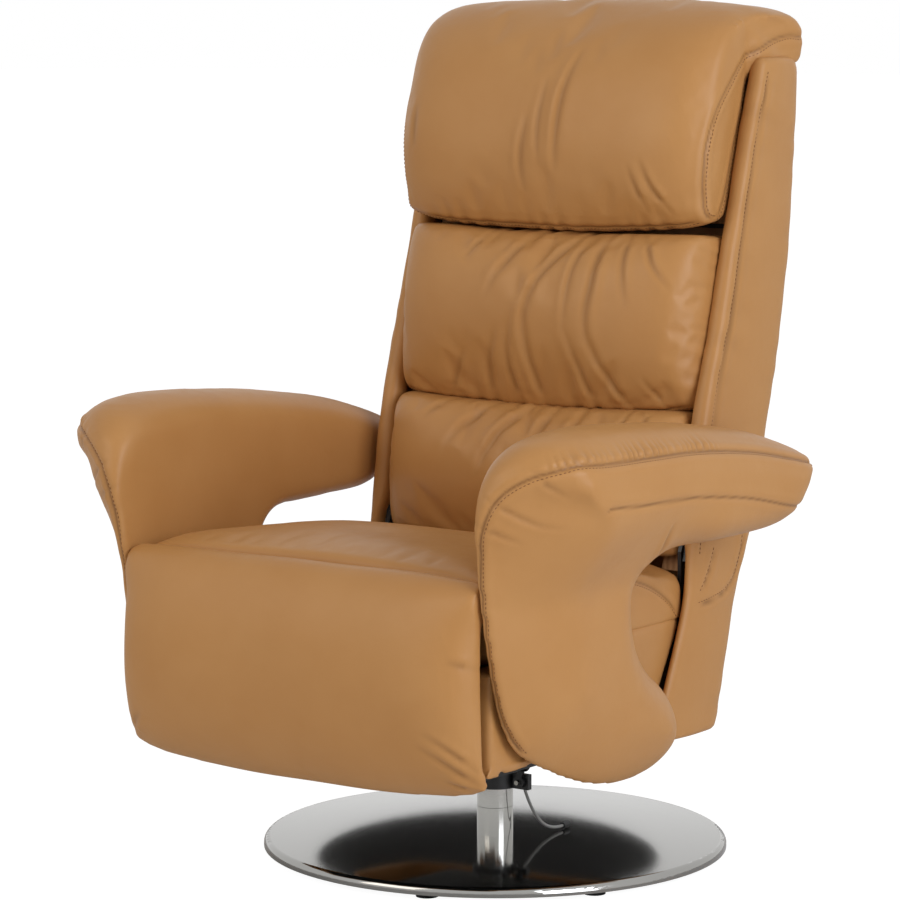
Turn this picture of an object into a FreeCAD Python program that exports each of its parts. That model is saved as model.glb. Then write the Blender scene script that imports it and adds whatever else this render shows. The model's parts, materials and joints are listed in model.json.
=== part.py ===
import FreeCAD, Part
import math
import os
import Sketcher

# Swivel recliner on a round disc foot, in millimetres, +Z up, floor at Z = 0.
# The chair faces -Y. The sitter's left side is +X.
# Every piece is drawn about the swivel axis and then set back by stand_y, so
# that the origin is the middle of the chair's outline on the floor.

SIZES = [
    ("stand_y", 62, "swivel axis behind the middle of the outline"),
    ("running_gap", 0.05, "radial play of a pin or shaft in its bore"),
    ("seat_gap", 0.3, "play between an upholstered piece and its seat"),
    ("disc_radius", 300, "polished base disc"),
    ("disc_sheet", 2, "thickness of the disc's sheet"),
    ("disc_rim", 8, "radius of the rolled rim"),
    ("disc_drop", 12, "height of the rolled rim"),
    ("ballast_margin", 14, "ballast plate inside the disc's rim"),
    ("ballast_thick", 10, "ballast plate"),
    ("glide_high", 8, "floor glide, which sets the plate's height"),
    ("glide_radius", 14, "floor glide"),
    ("glide_circle", 270, "radius that the glides stand on"),
    ("glide_count", 8, "floor glides"),
    ("glide_turn", 17, "angle of the first glide"),
    ("flange_radius", 55, "foot flange of the spindle"),
    ("flange_thick", 5, "foot flange of the spindle"),
    ("screw_circle", 40, "radius of the flange screws' circle"),
    ("screw_radius", 4, "flange screw shank"),
    ("screw_head_radius", 7, "flange screw head"),
    ("screw_head_high", 2, "flange screw head"),
    ("screw_play", 0.2, "play of a screw in its hole"),
    ("screw_count", 4, "flange screws"),
    ("post_radius", 15, "spindle"),
    ("post_play", 1, "play of the spindle in the plates"),
    ("column_radius", 23.5, "visible column"),
    ("column_wall", 3, "visible column"),
    ("column_high", 37, "fixed lower part of the column"),
    ("swivel_seam", 0.5, "gap between the fixed and turning column"),
    ("sleeve_high", 72.5, "turning upper part of the column"),
    ("bush_high", 18, "plastic swivel bush"),
    ("washer_thick", 3, "thrust washer under the carrier"),
    ("washer_radius", 19, "thrust washer under the carrier"),
    ("collar_low", 26, "clamp collar above the swivel seam"),
    ("collar_high", 20, "clamp collar"),
    ("collar_wall", 7, "clamp collar"),
    ("ear_thick", 8, "ear of the clamp collar"),
    ("ear_long", 24, "ear of the clamp collar"),
    ("lever_bolt_radius", 3, "bolt of the swivel brake lever"),
    ("lever_reach", 26, "brake lever from its bolt to its grip"),
    ("lever_rise", 20, "brake lever from its bolt up to its grip"),
    ("grip_long", 22, "brake lever grip"),
    ("grip_high", 15, "brake lever grip"),
    ("grip_grasp", 5, "how far the lever goes into its grip"),
    ("carrier_thick", 6, "carrier plate on the column"),
    ("carrier_half", 100, "half width of the carrier plate"),
    ("carrier_front", 205, "carrier plate in front of the axis"),
    ("carrier_back", 35, "carrier plate behind the axis"),
    ("riser_deep", 30, "pressed riser on the carrier plate"),
    ("riser_high", 59, "pressed riser on the carrier plate"),
    ("riser_wall", 4, "pressed riser on the carrier plate"),
    ("rail_high", 22, "seat rail"),
    ("rail_wide", 25, "seat rail"),
    ("rail_wall", 3, "seat rail"),
    ("rail_front", 385, "front end of the seat frame"),
    ("frame_half", 210, "half width of the seat frame inside its boards"),
    ("board_thick", 18, "plywood boards of the seat box"),
    ("board_top", 312, "top of the seat box"),
    ("cover_thick", 34, "padded side covers of the seat box"),
    ("shell_room", 15, "from the seat box to the inside of the back shell"),
    ("shell_wall", 13, "wall of the back shell"),
    ("tail_play", 2, "seat cushion and covers inside the back shell"),
    ("cushion_play", 7, "back cushions inside the back shell"),
    ("upright_set", 25, "back frame inside the back shell"),
    ("arm_set", 6, "from the side covers to the armrests"),
    ("arm_wide", 124, "width of the armrests"),
    ("rest_wider", 3, "leg rest beyond the seat cushion on each side"),
    ("rod_short", 25, "leg rest hinge rod inside the leg rest's ends"),
    ("seat_set", 14, "front face of the seat cushion behind the frame's front end"),
    ("hinge_reach", 17, "leg rest hinge in front of the seat frame"),
    ("rest_board_set", 2, "rear face of the leg rest board behind the hinge"),
    ("rest_deep", 53, "front face of the leg rest in front of its hinge"),
    ("tail_start", 95, "where the seat narrows, in front of the axis"),
    ("seat_rear", 75, "rear face of the seat cushion"),
    ("seat_front_top", 434, "top of the seat at the front"),
    ("seat_rear_top", 388, "top of the seat at the rear"),
    ("web_thick", 2.5, "elastic webbing"),
    ("web_wide", 60, "elastic webbing"),
    ("web_pitch", 95, "spacing of the seat webbing"),
    ("cover_low", 193, "bottom edge of the side covers"),
    ("arm_crown", 603, "top of the armrests"),
    ("arm_reach", 435, "armrest in front of the axis"),
    ("arm_tail", 170, "armrest behind the axis"),
    ("arm_under", 440, "underside of the armrest"),
    ("arm_bend", 150, "start of the armrest's slope, in front of the axis"),
    ("arm_drop", 78, "fall of the armrest to its rear end"),
    ("leaf_thick", 58, "upright leaf of the armrest"),
    ("leaf_foot", 153, "bottom of the upright leaf"),
    ("mount_front", 340, "wooden spacer behind the armrest, in front of the axis"),
    ("mount_low", 225, "bottom of the armrest's spacer"),
    ("mount_long", 180, "spacer of the armrest"),
    ("mount_high", 80, "spacer of the armrest"),
    ("hinge_level", 398, "leg rest hinge above the floor"),
    ("hinge_rod_radius", 6, "leg rest hinge rod"),
    ("roll_radius", 26, "rounded upper end of the leg rest"),
    ("rest_foot", 158, "lower end of the leg rest"),
    ("rest_board_thick", 10, "board inside the leg rest"),
    ("lug_x", 150, "leg rest hinge lugs from the middle"),
    ("lug_thick", 6, "leg rest hinge lugs"),
    ("lug_ring", 12, "eye of the leg rest hinge lugs"),
    ("cam_thick", 8, "slotted lift plate of the leg rest"),
    ("cam_wall", 10, "metal round the slot of the lift plate"),
    ("pin_radius", 5, "lift pin of the actuator"),
    ("pin_back", 40, "lift pin behind the hinge at rest"),
    ("pin_drop", 130, "lift pin below the hinge"),
    ("pin_play", 0.5, "lift pin in its slot"),
    ("lift_stroke", 140, "actuator stroke over the leg rest's travel"),
    ("lift_angle", 90, "leg rest's travel in degrees"),
    ("rod_radius", 8, "actuator rod"),
    ("rod_x", 26, "actuator beside the middle"),
    ("rod_long", 222, "actuator rod"),
    ("motor_reach", 68, "actuator's gear case in front of the axis"),
    ("motor_wide", 52, "actuator's gear case"),
    ("motor_high", 74, "actuator's gear case"),
    ("motor_drop", 50, "bottom of the gear case below the rod"),
    ("motor_radius", 20, "actuator's motor"),
    ("motor_long", 86, "actuator's motor"),
    ("motor_below", 36, "actuator's motor below the rod"),
    ("tube_wall", 6, "actuator tube"),
    ("pivot_y", 91, "recline pivot behind the axis"),
    ("pivot_z", 400, "recline pivot above the floor"),
    ("pivot_radius", 7, "recline pin"),
    ("plate_thick", 5, "recline hinge plates"),
    ("shell_top", 1008, "top of the back shell"),
    ("shell_foot", 167, "lower edge of the back shell"),
    ("board_play", 2, "headrest board in the shell's mouth"),
    ("upright_deep", 25, "uprights of the back frame"),
    ("lean_y", 95, "front of the back frame at its foot"),
    ("lean_z", 372, "foot of the back frame"),
    ("lean_slope", 0.26, "lean of the back frame"),
    ("nod_y", 148, "headrest hinge behind the axis"),
    ("nod_z", 858, "headrest hinge above the floor"),
    ("nod_roll", 52, "rounded lower end of the headrest"),
    ("nod_pin_radius", 5, "headrest hinge pin"),
    ("nod_x", 120, "headrest hinge plates from the middle"),
    ("nod_slot", 16, "slot in the headrest for its hinge plates"),
    ("head_board_thick", 12, "board inside the headrest"),
    ("head_board_low", 902, "lower edge of the headrest board"),
    ("head_board_high", 992, "upper edge of the headrest board"),
    ("stretcher_radius", 10.5, "round stretchers of the back frame"),
    ("waist_z", 650, "middle stretcher of the back frame"),
    ("head_top", 1088, "top of the headrest"),
    ("lead_radius", 2, "low voltage lead"),
    ("plug_radius", 4, "plug of the low voltage lead"),
    ("plug_long", 14, "plug of the low voltage lead"),
]

# Sizes that follow from others
LINKED = [
    ("shell_half", "frame_half + board_thick + shell_room + shell_wall", "half width of the back shell"),
    ("seat_half", "frame_half + board_thick + cover_thick", "half width of the seat at the front"),
    ("seat_tail_half", "shell_half - shell_wall - tail_play", "half width of the seat inside the shell"),
    ("cushion_half", "shell_half - shell_wall - cushion_play", "half width of the back cushions"),
    ("upright_half", "shell_half - shell_wall - upright_set", "outer faces of the back frame"),
    ("arm_inside", "seat_half + arm_set", "inner face of the armrests"),
    ("arm_bulge", "arm_inside + arm_wide", "outermost face of the armrests"),
    ("rest_half", "seat_half + rest_wider", "half width of the leg rest"),
    ("hinge_rod_half", "rest_half - rod_short", "half length of the leg rest hinge rod"),
    ("seat_front", "rail_front - seat_set", "front face of the seat cushion"),
    ("hinge_forward", "rail_front + hinge_reach", "leg rest hinge in front of the axis"),
    ("rest_board_back", "hinge_forward - rest_board_set", "rear face of the leg rest board"),
    ("rest_bulge", "hinge_forward + rest_deep", "front face of the leg rest"),
]

os.makedirs("parts", exist_ok=True)
doc = FreeCAD.newDocument("SwivelRecliner")
sheet = doc.addObject("Spreadsheet::Sheet", "Sizes")
size = {alias: float(value) for alias, value, note in SIZES}


def total(formula):
    result = 0
    sign = 1
    for word in formula.split():
        if word in "+-":
            sign = 1 if word == "+" else -1
        else:
            result += sign * size[word]
    return result


for alias, formula, note in LINKED:
    size[alias] = total(formula)
notes = {alias: note for alias, value, note in SIZES + LINKED}
for row, alias in enumerate(notes, start=1):
    sheet.set("A%d" % row, alias)
    sheet.set("B%d" % row, str(size[alias]))
    sheet.set("C%d" % row, notes[alias])
    sheet.setAlias("B%d" % row, alias)
doc.recompute()

sub_parts = []
V = FreeCAD.Vector


# Parametric bodies


def new_body(label):
    body = doc.addObject("PartDesign::Body", label)
    body.Label = label
    body.AllowCompound = True
    body.setExpression("Placement.Base.y", "Sizes.stand_y")
    sub_parts.append(body)
    return body


def bind(feature, **expressions):
    for name, expression in expressions.items():
        feature.setExpression(name, expression)


def put(feature, x, y, z):
    feature.setExpression("Placement.Base.x", x)
    feature.setExpression("Placement.Base.y", y)
    feature.setExpression("Placement.Base.z", z)


def box(body, x, y, z, dx, dy, dz, cut=False):
    kind = "PartDesign::SubtractiveBox" if cut else "PartDesign::AdditiveBox"
    feature = body.newObject(kind, "Box")
    bind(feature, Length=dx, Width=dy, Height=dz)
    put(feature, x, y, z)
    return feature


TURN = {
    "Z": FreeCAD.Rotation(),
    "X": FreeCAD.Rotation(V(0, 1, 0), 90),
    "Y": FreeCAD.Rotation(V(1, 0, 0), -90),
}


def rod(body, x, y, z, radius, length, along="Z", cut=False):
    kind = "PartDesign::SubtractiveCylinder" if cut else "PartDesign::AdditiveCylinder"
    feature = body.newObject(kind, "Rod")
    feature.Placement = FreeCAD.Placement(V(0, 0, 0), TURN[along])
    bind(feature, Radius=radius, Height=length)
    put(feature, x, y, z)
    return feature


def origin_item(body, role):
    for feature in body.Origin.OriginFeatures:
        if feature.Role == role:
            return feature


def outline(body, role, corners):
    # Closed outline on an origin plane. Each corner is a pair of expressions.
    sketch = body.newObject("Sketcher::SketchObject", "Outline")
    sketch.AttachmentSupport = [(origin_item(body, role), "")]
    sketch.MapMode = "FlatFace"
    count = len(corners)
    ring = []
    for index in range(count):
        angle = 2 * math.pi * index / count
        ring.append(V(100 * math.cos(angle), 100 * math.sin(angle), 0))
    for index in range(count):
        sketch.addGeometry(Part.LineSegment(ring[index], ring[(index + 1) % count]))
    for index in range(count):
        link = Sketcher.Constraint("Coincident", index, 2, (index + 1) % count, 1)
        sketch.addConstraint(link)
    for index, (across, up) in enumerate(corners):
        for kind, start, value in (("DistanceX", ring[index].x, across), ("DistanceY", ring[index].y, up)):
            number = sketch.addConstraint(Sketcher.Constraint(kind, -1, 1, index, 1, start))
            sketch.setExpression("Constraints[%d]" % number, value)
    return sketch


def pad(body, sketch, length, both_ways=False, cut=False, backwards=False):
    feature = body.newObject("PartDesign::Pocket" if cut else "PartDesign::Pad", "Pad")
    feature.Profile = sketch
    feature.SideType = "Symmetric" if both_ways else "One side"
    feature.Reversed = backwards
    feature.setExpression("Length", length)
    return feature


def around(body, features, count, role="Z_Axis"):
    pattern = body.newObject("PartDesign::PolarPattern", "Ring")
    pattern.Originals = features
    pattern.Axis = (origin_item(body, role), [""])
    pattern.Angle = 360
    pattern.setExpression("Occurrences", count)
    body.Tip = pattern
    return pattern


def round_edges(body, radius, wanted):
    doc.recompute()
    base = body.Tip
    names = ["Edge%d" % (n + 1) for n, edge in enumerate(base.Shape.Edges) if wanted(edge)]
    fillet = body.newObject("PartDesign::Fillet", "Round")
    fillet.Base = (base, names)
    fillet.setExpression("Radius", radius)
    body.Tip = fillet
    return fillet


# Upholstered forms


def add_form(label, shape):
    form = doc.addObject("Part::Feature", label)
    form.Label = label
    form.Shape = shape.removeSplitter()
    form.Placement = FreeCAD.Placement(V(0, size["stand_y"], 0), FreeCAD.Rotation())
    sub_parts.append(form)
    return form


def rounded_wire(corners, place):
    # corners are (across, up, radius); place turns the pair into a 3-D point.
    count = len(corners)
    joints = []
    for index in range(count):
        before = V(*corners[index - 1][:2], 0)
        here = V(*corners[index][:2], 0)
        after = V(*corners[(index + 1) % count][:2], 0)
        radius = corners[index][2]
        back = (before - here).normalize()
        ahead = (after - here).normalize()
        half = back.getAngle(ahead) / 2
        if radius == 0:
            joints.append((here, here, here))
            continue
        reach = radius / math.tan(half)
        inward = (back + ahead).normalize()
        middle = here + inward * (radius / math.sin(half) - radius)
        joints.append((here + back * reach, middle, here + ahead * reach))
    edges = []
    for index in range(count):
        start, middle, end = joints[index]
        if (start - end).Length > 1e-6:
            edges.append(Part.Arc(place(start), place(middle), place(end)).toShape())
        following = joints[(index + 1) % count][0]
        if (following - end).Length > 1e-6:
            edges.append(Part.LineSegment(place(end), place(following)).toShape())
    return Part.Wire(edges)


def across_chair(corners, low, high):
    # Side outline given as (y, z, radius), thickened along X.
    wire = rounded_wire(corners, lambda p: V(low, p.x, p.y))
    return Part.Face(wire).extrude(V(high - low, 0, 0))


def end_edges(shape, x):
    found = []
    for edge in shape.Edges:
        box_of_edge = edge.BoundBox
        if abs(box_of_edge.XMin - x) < 1e-4 and abs(box_of_edge.XMax - x) < 1e-4:
            found.append(edge)
    return found


def mirrored(shape):
    return shape.mirror(V(0, 0, 0), V(1, 0, 0))


# Base


def make_base():
    disc = new_body("base_disc")
    plate_top = "(Sizes.glide_high + Sizes.ballast_thick)"
    top = "(%s + Sizes.disc_sheet)" % plate_top
    bore = "(Sizes.post_radius + Sizes.post_play)"
    rod(disc, "0", "0", "%s - Sizes.disc_drop" % top, "Sizes.disc_radius", "Sizes.disc_drop")
    round_edges(disc, "Sizes.disc_rim", lambda e: e.BoundBox.ZMin > 19.9 and e.Curve.TypeId == "Part::GeomCircle")
    rod(disc, "0", "0", "0", "Sizes.disc_radius - Sizes.disc_sheet", plate_top + " - Sizes.disc_rim", cut=True)
    rod(disc, "0", "0", "0", "Sizes.disc_radius - Sizes.disc_rim", plate_top, cut=True)
    rod(disc, "0", "0", "0", bore, top, cut=True)

    plate = new_body("ballast_plate")
    rod(plate, "0", "0", "Sizes.glide_high", "Sizes.disc_radius - Sizes.ballast_margin", "Sizes.ballast_thick")
    rod(plate, "0", "0", "0", bore, plate_top, cut=True)
    hole = rod(plate, "Sizes.screw_circle", "0", "0", "Sizes.screw_radius", plate_top, cut=True)
    around(plate, [hole], "Sizes.screw_count")

    glides = new_body("floor_glides")
    glide = rod(
        glides,
        "Sizes.glide_circle * cos(Sizes.glide_turn)",
        "Sizes.glide_circle * sin(Sizes.glide_turn)",
        "0",
        "Sizes.glide_radius",
        "Sizes.glide_high",
    )
    around(glides, [glide], "Sizes.glide_count")

    spindle = new_body("spindle")
    flange_low = "(Sizes.glide_high - Sizes.flange_thick)"
    post_top = (
        "(Sizes.glide_high + Sizes.ballast_thick + Sizes.disc_sheet + Sizes.column_high"
        " + Sizes.swivel_seam + Sizes.sleeve_high - Sizes.washer_thick - Sizes.running_gap)"
    )
    rod(spindle, "0", "0", flange_low, "Sizes.flange_radius", "Sizes.flange_thick")
    rod(spindle, "0", "0", flange_low, "Sizes.post_radius", "%s - %s" % (post_top, flange_low))
    shank_hole = rod(
        spindle, "Sizes.screw_circle", "0", "0", "Sizes.screw_radius + Sizes.screw_play", "Sizes.glide_high", cut=True
    )
    head_hole = rod(
        spindle,
        "Sizes.screw_circle",
        "0",
        "0",
        "Sizes.screw_head_radius + Sizes.screw_play",
        "%s + Sizes.screw_head_high" % flange_low,
        cut=True,
    )
    around(spindle, [shank_hole, head_hole], "Sizes.screw_count")

    screws = new_body("flange_screws")
    head = rod(
        screws, "Sizes.screw_circle", "0", flange_low, "Sizes.screw_head_radius", "Sizes.screw_head_high"
    )
    shank = rod(
        screws,
        "Sizes.screw_circle",
        "0",
        flange_low,
        "Sizes.screw_radius",
        "Sizes.flange_thick + Sizes.ballast_thick",
    )
    around(screws, [head, shank], "Sizes.screw_count")

    tube = new_body("column_tube")
    rod(tube, "0", "0", top, "Sizes.column_radius", "Sizes.column_high")
    rod(tube, "0", "0", top, "Sizes.column_radius - Sizes.column_wall", "Sizes.column_high", cut=True)
    return top


# Swivel


def make_swivel(top):
    low = "(%s + Sizes.column_high + Sizes.swivel_seam)" % top
    high = "(%s + Sizes.sleeve_high)" % low
    inner = "(Sizes.column_radius - Sizes.column_wall)"
    running = "(Sizes.post_radius + Sizes.running_gap)"
    sleeve = new_body("swivel_sleeve")
    rod(sleeve, "0", "0", low, "Sizes.column_radius", "Sizes.sleeve_high")
    rod(sleeve, "0", "0", low, inner, "Sizes.sleeve_high", cut=True)

    bushes = new_body("swivel_bushes")
    rod(bushes, "0", "0", low, inner, "Sizes.bush_high")
    rod(bushes, "0", "0", "%s - Sizes.washer_thick - Sizes.bush_high" % high, inner, "Sizes.bush_high")
    rod(bushes, "0", "0", low, running, "Sizes.sleeve_high", cut=True)

    washer = new_body("thrust_washer")
    rod(washer, "0", "0", "%s - Sizes.washer_thick" % high, "Sizes.washer_radius", "Sizes.washer_thick")

    collar = new_body("column_collar")
    collar_low = "(%s + Sizes.collar_low)" % low
    outer = "(Sizes.column_radius + Sizes.collar_wall)"
    rod(collar, "0", "0", collar_low, outer, "Sizes.collar_high")
    box(
        collar,
        "0",
        "-Sizes.ear_thick / 2",
        collar_low,
        "%s + Sizes.ear_long" % outer,
        "Sizes.ear_thick",
        "Sizes.collar_high",
    )
    rod(collar, "0", "0", collar_low, "Sizes.column_radius", "Sizes.collar_high", cut=True)
    bolt_x = "(%s + Sizes.ear_long / 2)" % outer
    bolt_z = "(%s + Sizes.collar_high / 2)" % collar_low
    bolt_start = "-Sizes.ear_thick"
    rod(
        collar,
        bolt_x,
        bolt_start,
        bolt_z,
        "Sizes.lever_bolt_radius",
        "Sizes.ear_thick * 2",
        along="Y",
        cut=True,
    )

    bolt = new_body("collar_bolt")
    rod(
        bolt,
        bolt_x,
        "-Sizes.ear_thick / 2 - Sizes.plate_thick * 2",
        bolt_z,
        "Sizes.lever_bolt_radius",
        "Sizes.ear_thick + Sizes.plate_thick * 2",
        along="Y",
    )

    lever = new_body("brake_lever")
    eye = "Sizes.lever_bolt_radius + Sizes.plate_thick"
    front = "(-Sizes.ear_thick / 2 - Sizes.seat_gap - Sizes.plate_thick)"
    rod(lever, bolt_x, front, bolt_z, eye, "Sizes.plate_thick", along="Y")
    arm = outline(
        lever,
        "XZ_Plane",
        [
            (bolt_x + " - 4", bolt_z),
            (bolt_x + " + 4", bolt_z),
            (bolt_x + " + 8", bolt_z + " + Sizes.lever_rise"),
            (bolt_x, bolt_z + " + Sizes.lever_rise"),
        ],
    )
    arm.setExpression("AttachmentOffset.Base.z", "-%s" % front)
    pad(lever, arm, "Sizes.plate_thick", backwards=True)
    rod(
        lever,
        bolt_x,
        front,
        bolt_z,
        "Sizes.lever_bolt_radius + Sizes.running_gap",
        "Sizes.plate_thick",
        along="Y",
        cut=True,
    )
    grip = new_body("lever_grip")
    rod(
        grip,
        bolt_x + " + 4 - Sizes.grip_long / 2",
        front + " + Sizes.plate_thick / 2",
        bolt_z + " + Sizes.lever_rise + Sizes.grip_high / 2 - Sizes.grip_grasp",
        "Sizes.grip_high / 2",
        "Sizes.grip_long",
        along="X",
    )
    round_edges(grip, "0.8 * Sizes.grip_high / 2", lambda e: e.Curve.TypeId == "Part::GeomCircle")
    box(
        grip,
        bolt_x + " - 2",
        front,
        bolt_z,
        "12",
        "Sizes.plate_thick",
        "Sizes.lever_rise",
        cut=True,
    )
    return high


# Seat frame


def make_seat_frame(high):
    carrier = new_body("seat_carrier")
    box(
        carrier,
        "-Sizes.carrier_half",
        "-Sizes.carrier_front",
        high,
        "2 * Sizes.carrier_half",
        "Sizes.carrier_front + Sizes.carrier_back",
        "Sizes.carrier_thick",
    )
    riser_low = "(%s + Sizes.carrier_thick)" % high
    for start in ("-Sizes.carrier_front", "-Sizes.riser_deep"):
        box(
            carrier,
            "-Sizes.carrier_half",
            start,
            riser_low,
            "2 * Sizes.carrier_half",
            "Sizes.riser_deep",
            "Sizes.riser_high",
        )
        box(
            carrier,
            "-Sizes.carrier_half",
            start + " + Sizes.riser_wall",
            riser_low,
            "2 * Sizes.carrier_half",
            "Sizes.riser_deep - 2 * Sizes.riser_wall",
            "Sizes.riser_high - Sizes.riser_wall",
            cut=True,
        )

    rail_low = "(%s + Sizes.riser_high)" % riser_low
    rail_top = "(%s + Sizes.rail_high)" % rail_low
    bar = new_body("seat_crossbars")
    for start in ("-Sizes.carrier_front", "-Sizes.riser_deep"):
        half = "(Sizes.frame_half - Sizes.rail_wide)"
        box(bar, "-" + half, start, rail_low, "2 * " + half, "Sizes.riser_deep", "Sizes.rail_high")
        box(
            bar,
            "-" + half,
            start + " + Sizes.rail_wall",
            rail_low + " + Sizes.rail_wall",
            "2 * " + half,
            "Sizes.riser_deep - 2 * Sizes.rail_wall",
            "Sizes.rail_high - 2 * Sizes.rail_wall",
            cut=True,
        )

    for side, name in ((1, "left"), (-1, "right")):
        rail = new_body("seat_rail_" + name)
        edge = "Sizes.frame_half - Sizes.rail_wide" if side > 0 else "-Sizes.frame_half"
        box(rail, edge, "-Sizes.rail_front", rail_low, "Sizes.rail_wide", "Sizes.rail_front", "Sizes.rail_high")
        box(
            rail,
            edge + " + Sizes.rail_wall",
            "-Sizes.rail_front",
            rail_low + " + Sizes.rail_wall",
            "Sizes.rail_wide - 2 * Sizes.rail_wall",
            "Sizes.rail_front",
            "Sizes.rail_high - 2 * Sizes.rail_wall",
            cut=True,
        )

        board = new_body("side_board_" + name)
        shape = outline(
            board,
            "YZ_Plane",
            [
                ("-Sizes.rail_front", rail_low),
                ("5", rail_low),
                ("Sizes.pivot_y - 6", "Sizes.board_top - 15"),
                ("Sizes.pivot_y - 20", "Sizes.board_top"),
                ("-Sizes.rail_front", "Sizes.board_top"),
            ],
        )
        offset = "Sizes.frame_half" if side > 0 else "-Sizes.frame_half - Sizes.board_thick"
        shape.setExpression("AttachmentOffset.Base.z", offset)
        pad(board, shape, "Sizes.board_thick")

    front = new_body("front_board")
    box(
        front,
        "-Sizes.frame_half",
        "-Sizes.rail_front",
        rail_top,
        "2 * Sizes.frame_half",
        "Sizes.board_thick",
        "Sizes.board_top - %s" % rail_top,
    )
    box(
        front,
        "-Sizes.cam_thick * 3",
        "-Sizes.rail_front",
        rail_top,
        "Sizes.cam_thick * 9",
        "Sizes.board_thick",
        "Sizes.board_top",
        cut=True,
    )

    rear = new_body("rear_board")
    box(
        rear,
        "-Sizes.frame_half",
        "-Sizes.board_thick",
        rail_top,
        "2 * Sizes.frame_half",
        "Sizes.board_thick",
        "Sizes.board_top - %s" % rail_top,
    )

    webbing = new_body("seat_webbing")
    for step in ("-1.5", "-0.5", "0.5", "1.5"):
        box(
            webbing,
            "%s * Sizes.web_pitch - Sizes.web_wide / 2" % step,
            "-Sizes.rail_front",
            "Sizes.board_top",
            "Sizes.web_wide",
            "Sizes.rail_front",
            "Sizes.web_thick",
        )
    return rail_top


# Recline hinge


def make_recline_hinge():
    pins = new_body("recline_pins")
    for side, name in ((1, "left"), (-1, "right")):
        bracket = new_body("recline_bracket_" + name)
        shape = outline(
            bracket,
            "YZ_Plane",
            [
                ("10", "Sizes.board_top - 92"),
                ("36", "Sizes.board_top - 92"),
                ("Sizes.pivot_y + 8", "Sizes.board_top - 12"),
                ("Sizes.pivot_y + 15", "Sizes.pivot_z"),
                ("Sizes.pivot_y + 8", "Sizes.pivot_z + 14"),
                ("Sizes.pivot_y - 8", "Sizes.pivot_z + 14"),
                ("Sizes.pivot_y - 14", "Sizes.pivot_z"),
                ("Sizes.pivot_y - 14", "Sizes.board_top - 8"),
            ],
        )
        inner = "(Sizes.frame_half + Sizes.board_thick)"
        start = inner if side > 0 else "-%s - Sizes.plate_thick" % inner
        shape.setExpression("AttachmentOffset.Base.z", start)
        pad(bracket, shape, "Sizes.plate_thick")
        rod(
            bracket,
            start,
            "Sizes.pivot_y",
            "Sizes.pivot_z",
            "Sizes.pivot_radius",
            "Sizes.plate_thick",
            along="X",
            cut=True,
        )

        length = "(2 * Sizes.plate_thick + 3)"
        pin_start = "%s - 1" % inner if side > 0 else "-%s - %s + 1" % (inner, length)
        rod(pins, pin_start, "Sizes.pivot_y", "Sizes.pivot_z", "Sizes.pivot_radius", length, along="X")

        plate = new_body("back_hinge_plate_" + name)
        gap = "(%s + Sizes.plate_thick + Sizes.seat_gap)" % inner
        shape = outline(
            plate,
            "YZ_Plane",
            [
                ("Sizes.pivot_y - 12", "Sizes.pivot_z - 12"),
                ("Sizes.pivot_y + 12", "Sizes.pivot_z - 12"),
                ("Sizes.pivot_y + 60", "Sizes.pivot_z + 150"),
                ("Sizes.pivot_y + 30", "Sizes.pivot_z + 150"),
            ],
        )
        plate_start = gap if side > 0 else "-%s - Sizes.plate_thick" % gap
        shape.setExpression("AttachmentOffset.Base.z", plate_start)
        pad(plate, shape, "Sizes.plate_thick")
        rod(
            plate,
            plate_start,
            "Sizes.pivot_y",
            "Sizes.pivot_z",
            "Sizes.pivot_radius + Sizes.running_gap",
            "Sizes.plate_thick",
            along="X",
            cut=True,
        )


# Leg rest


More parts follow.
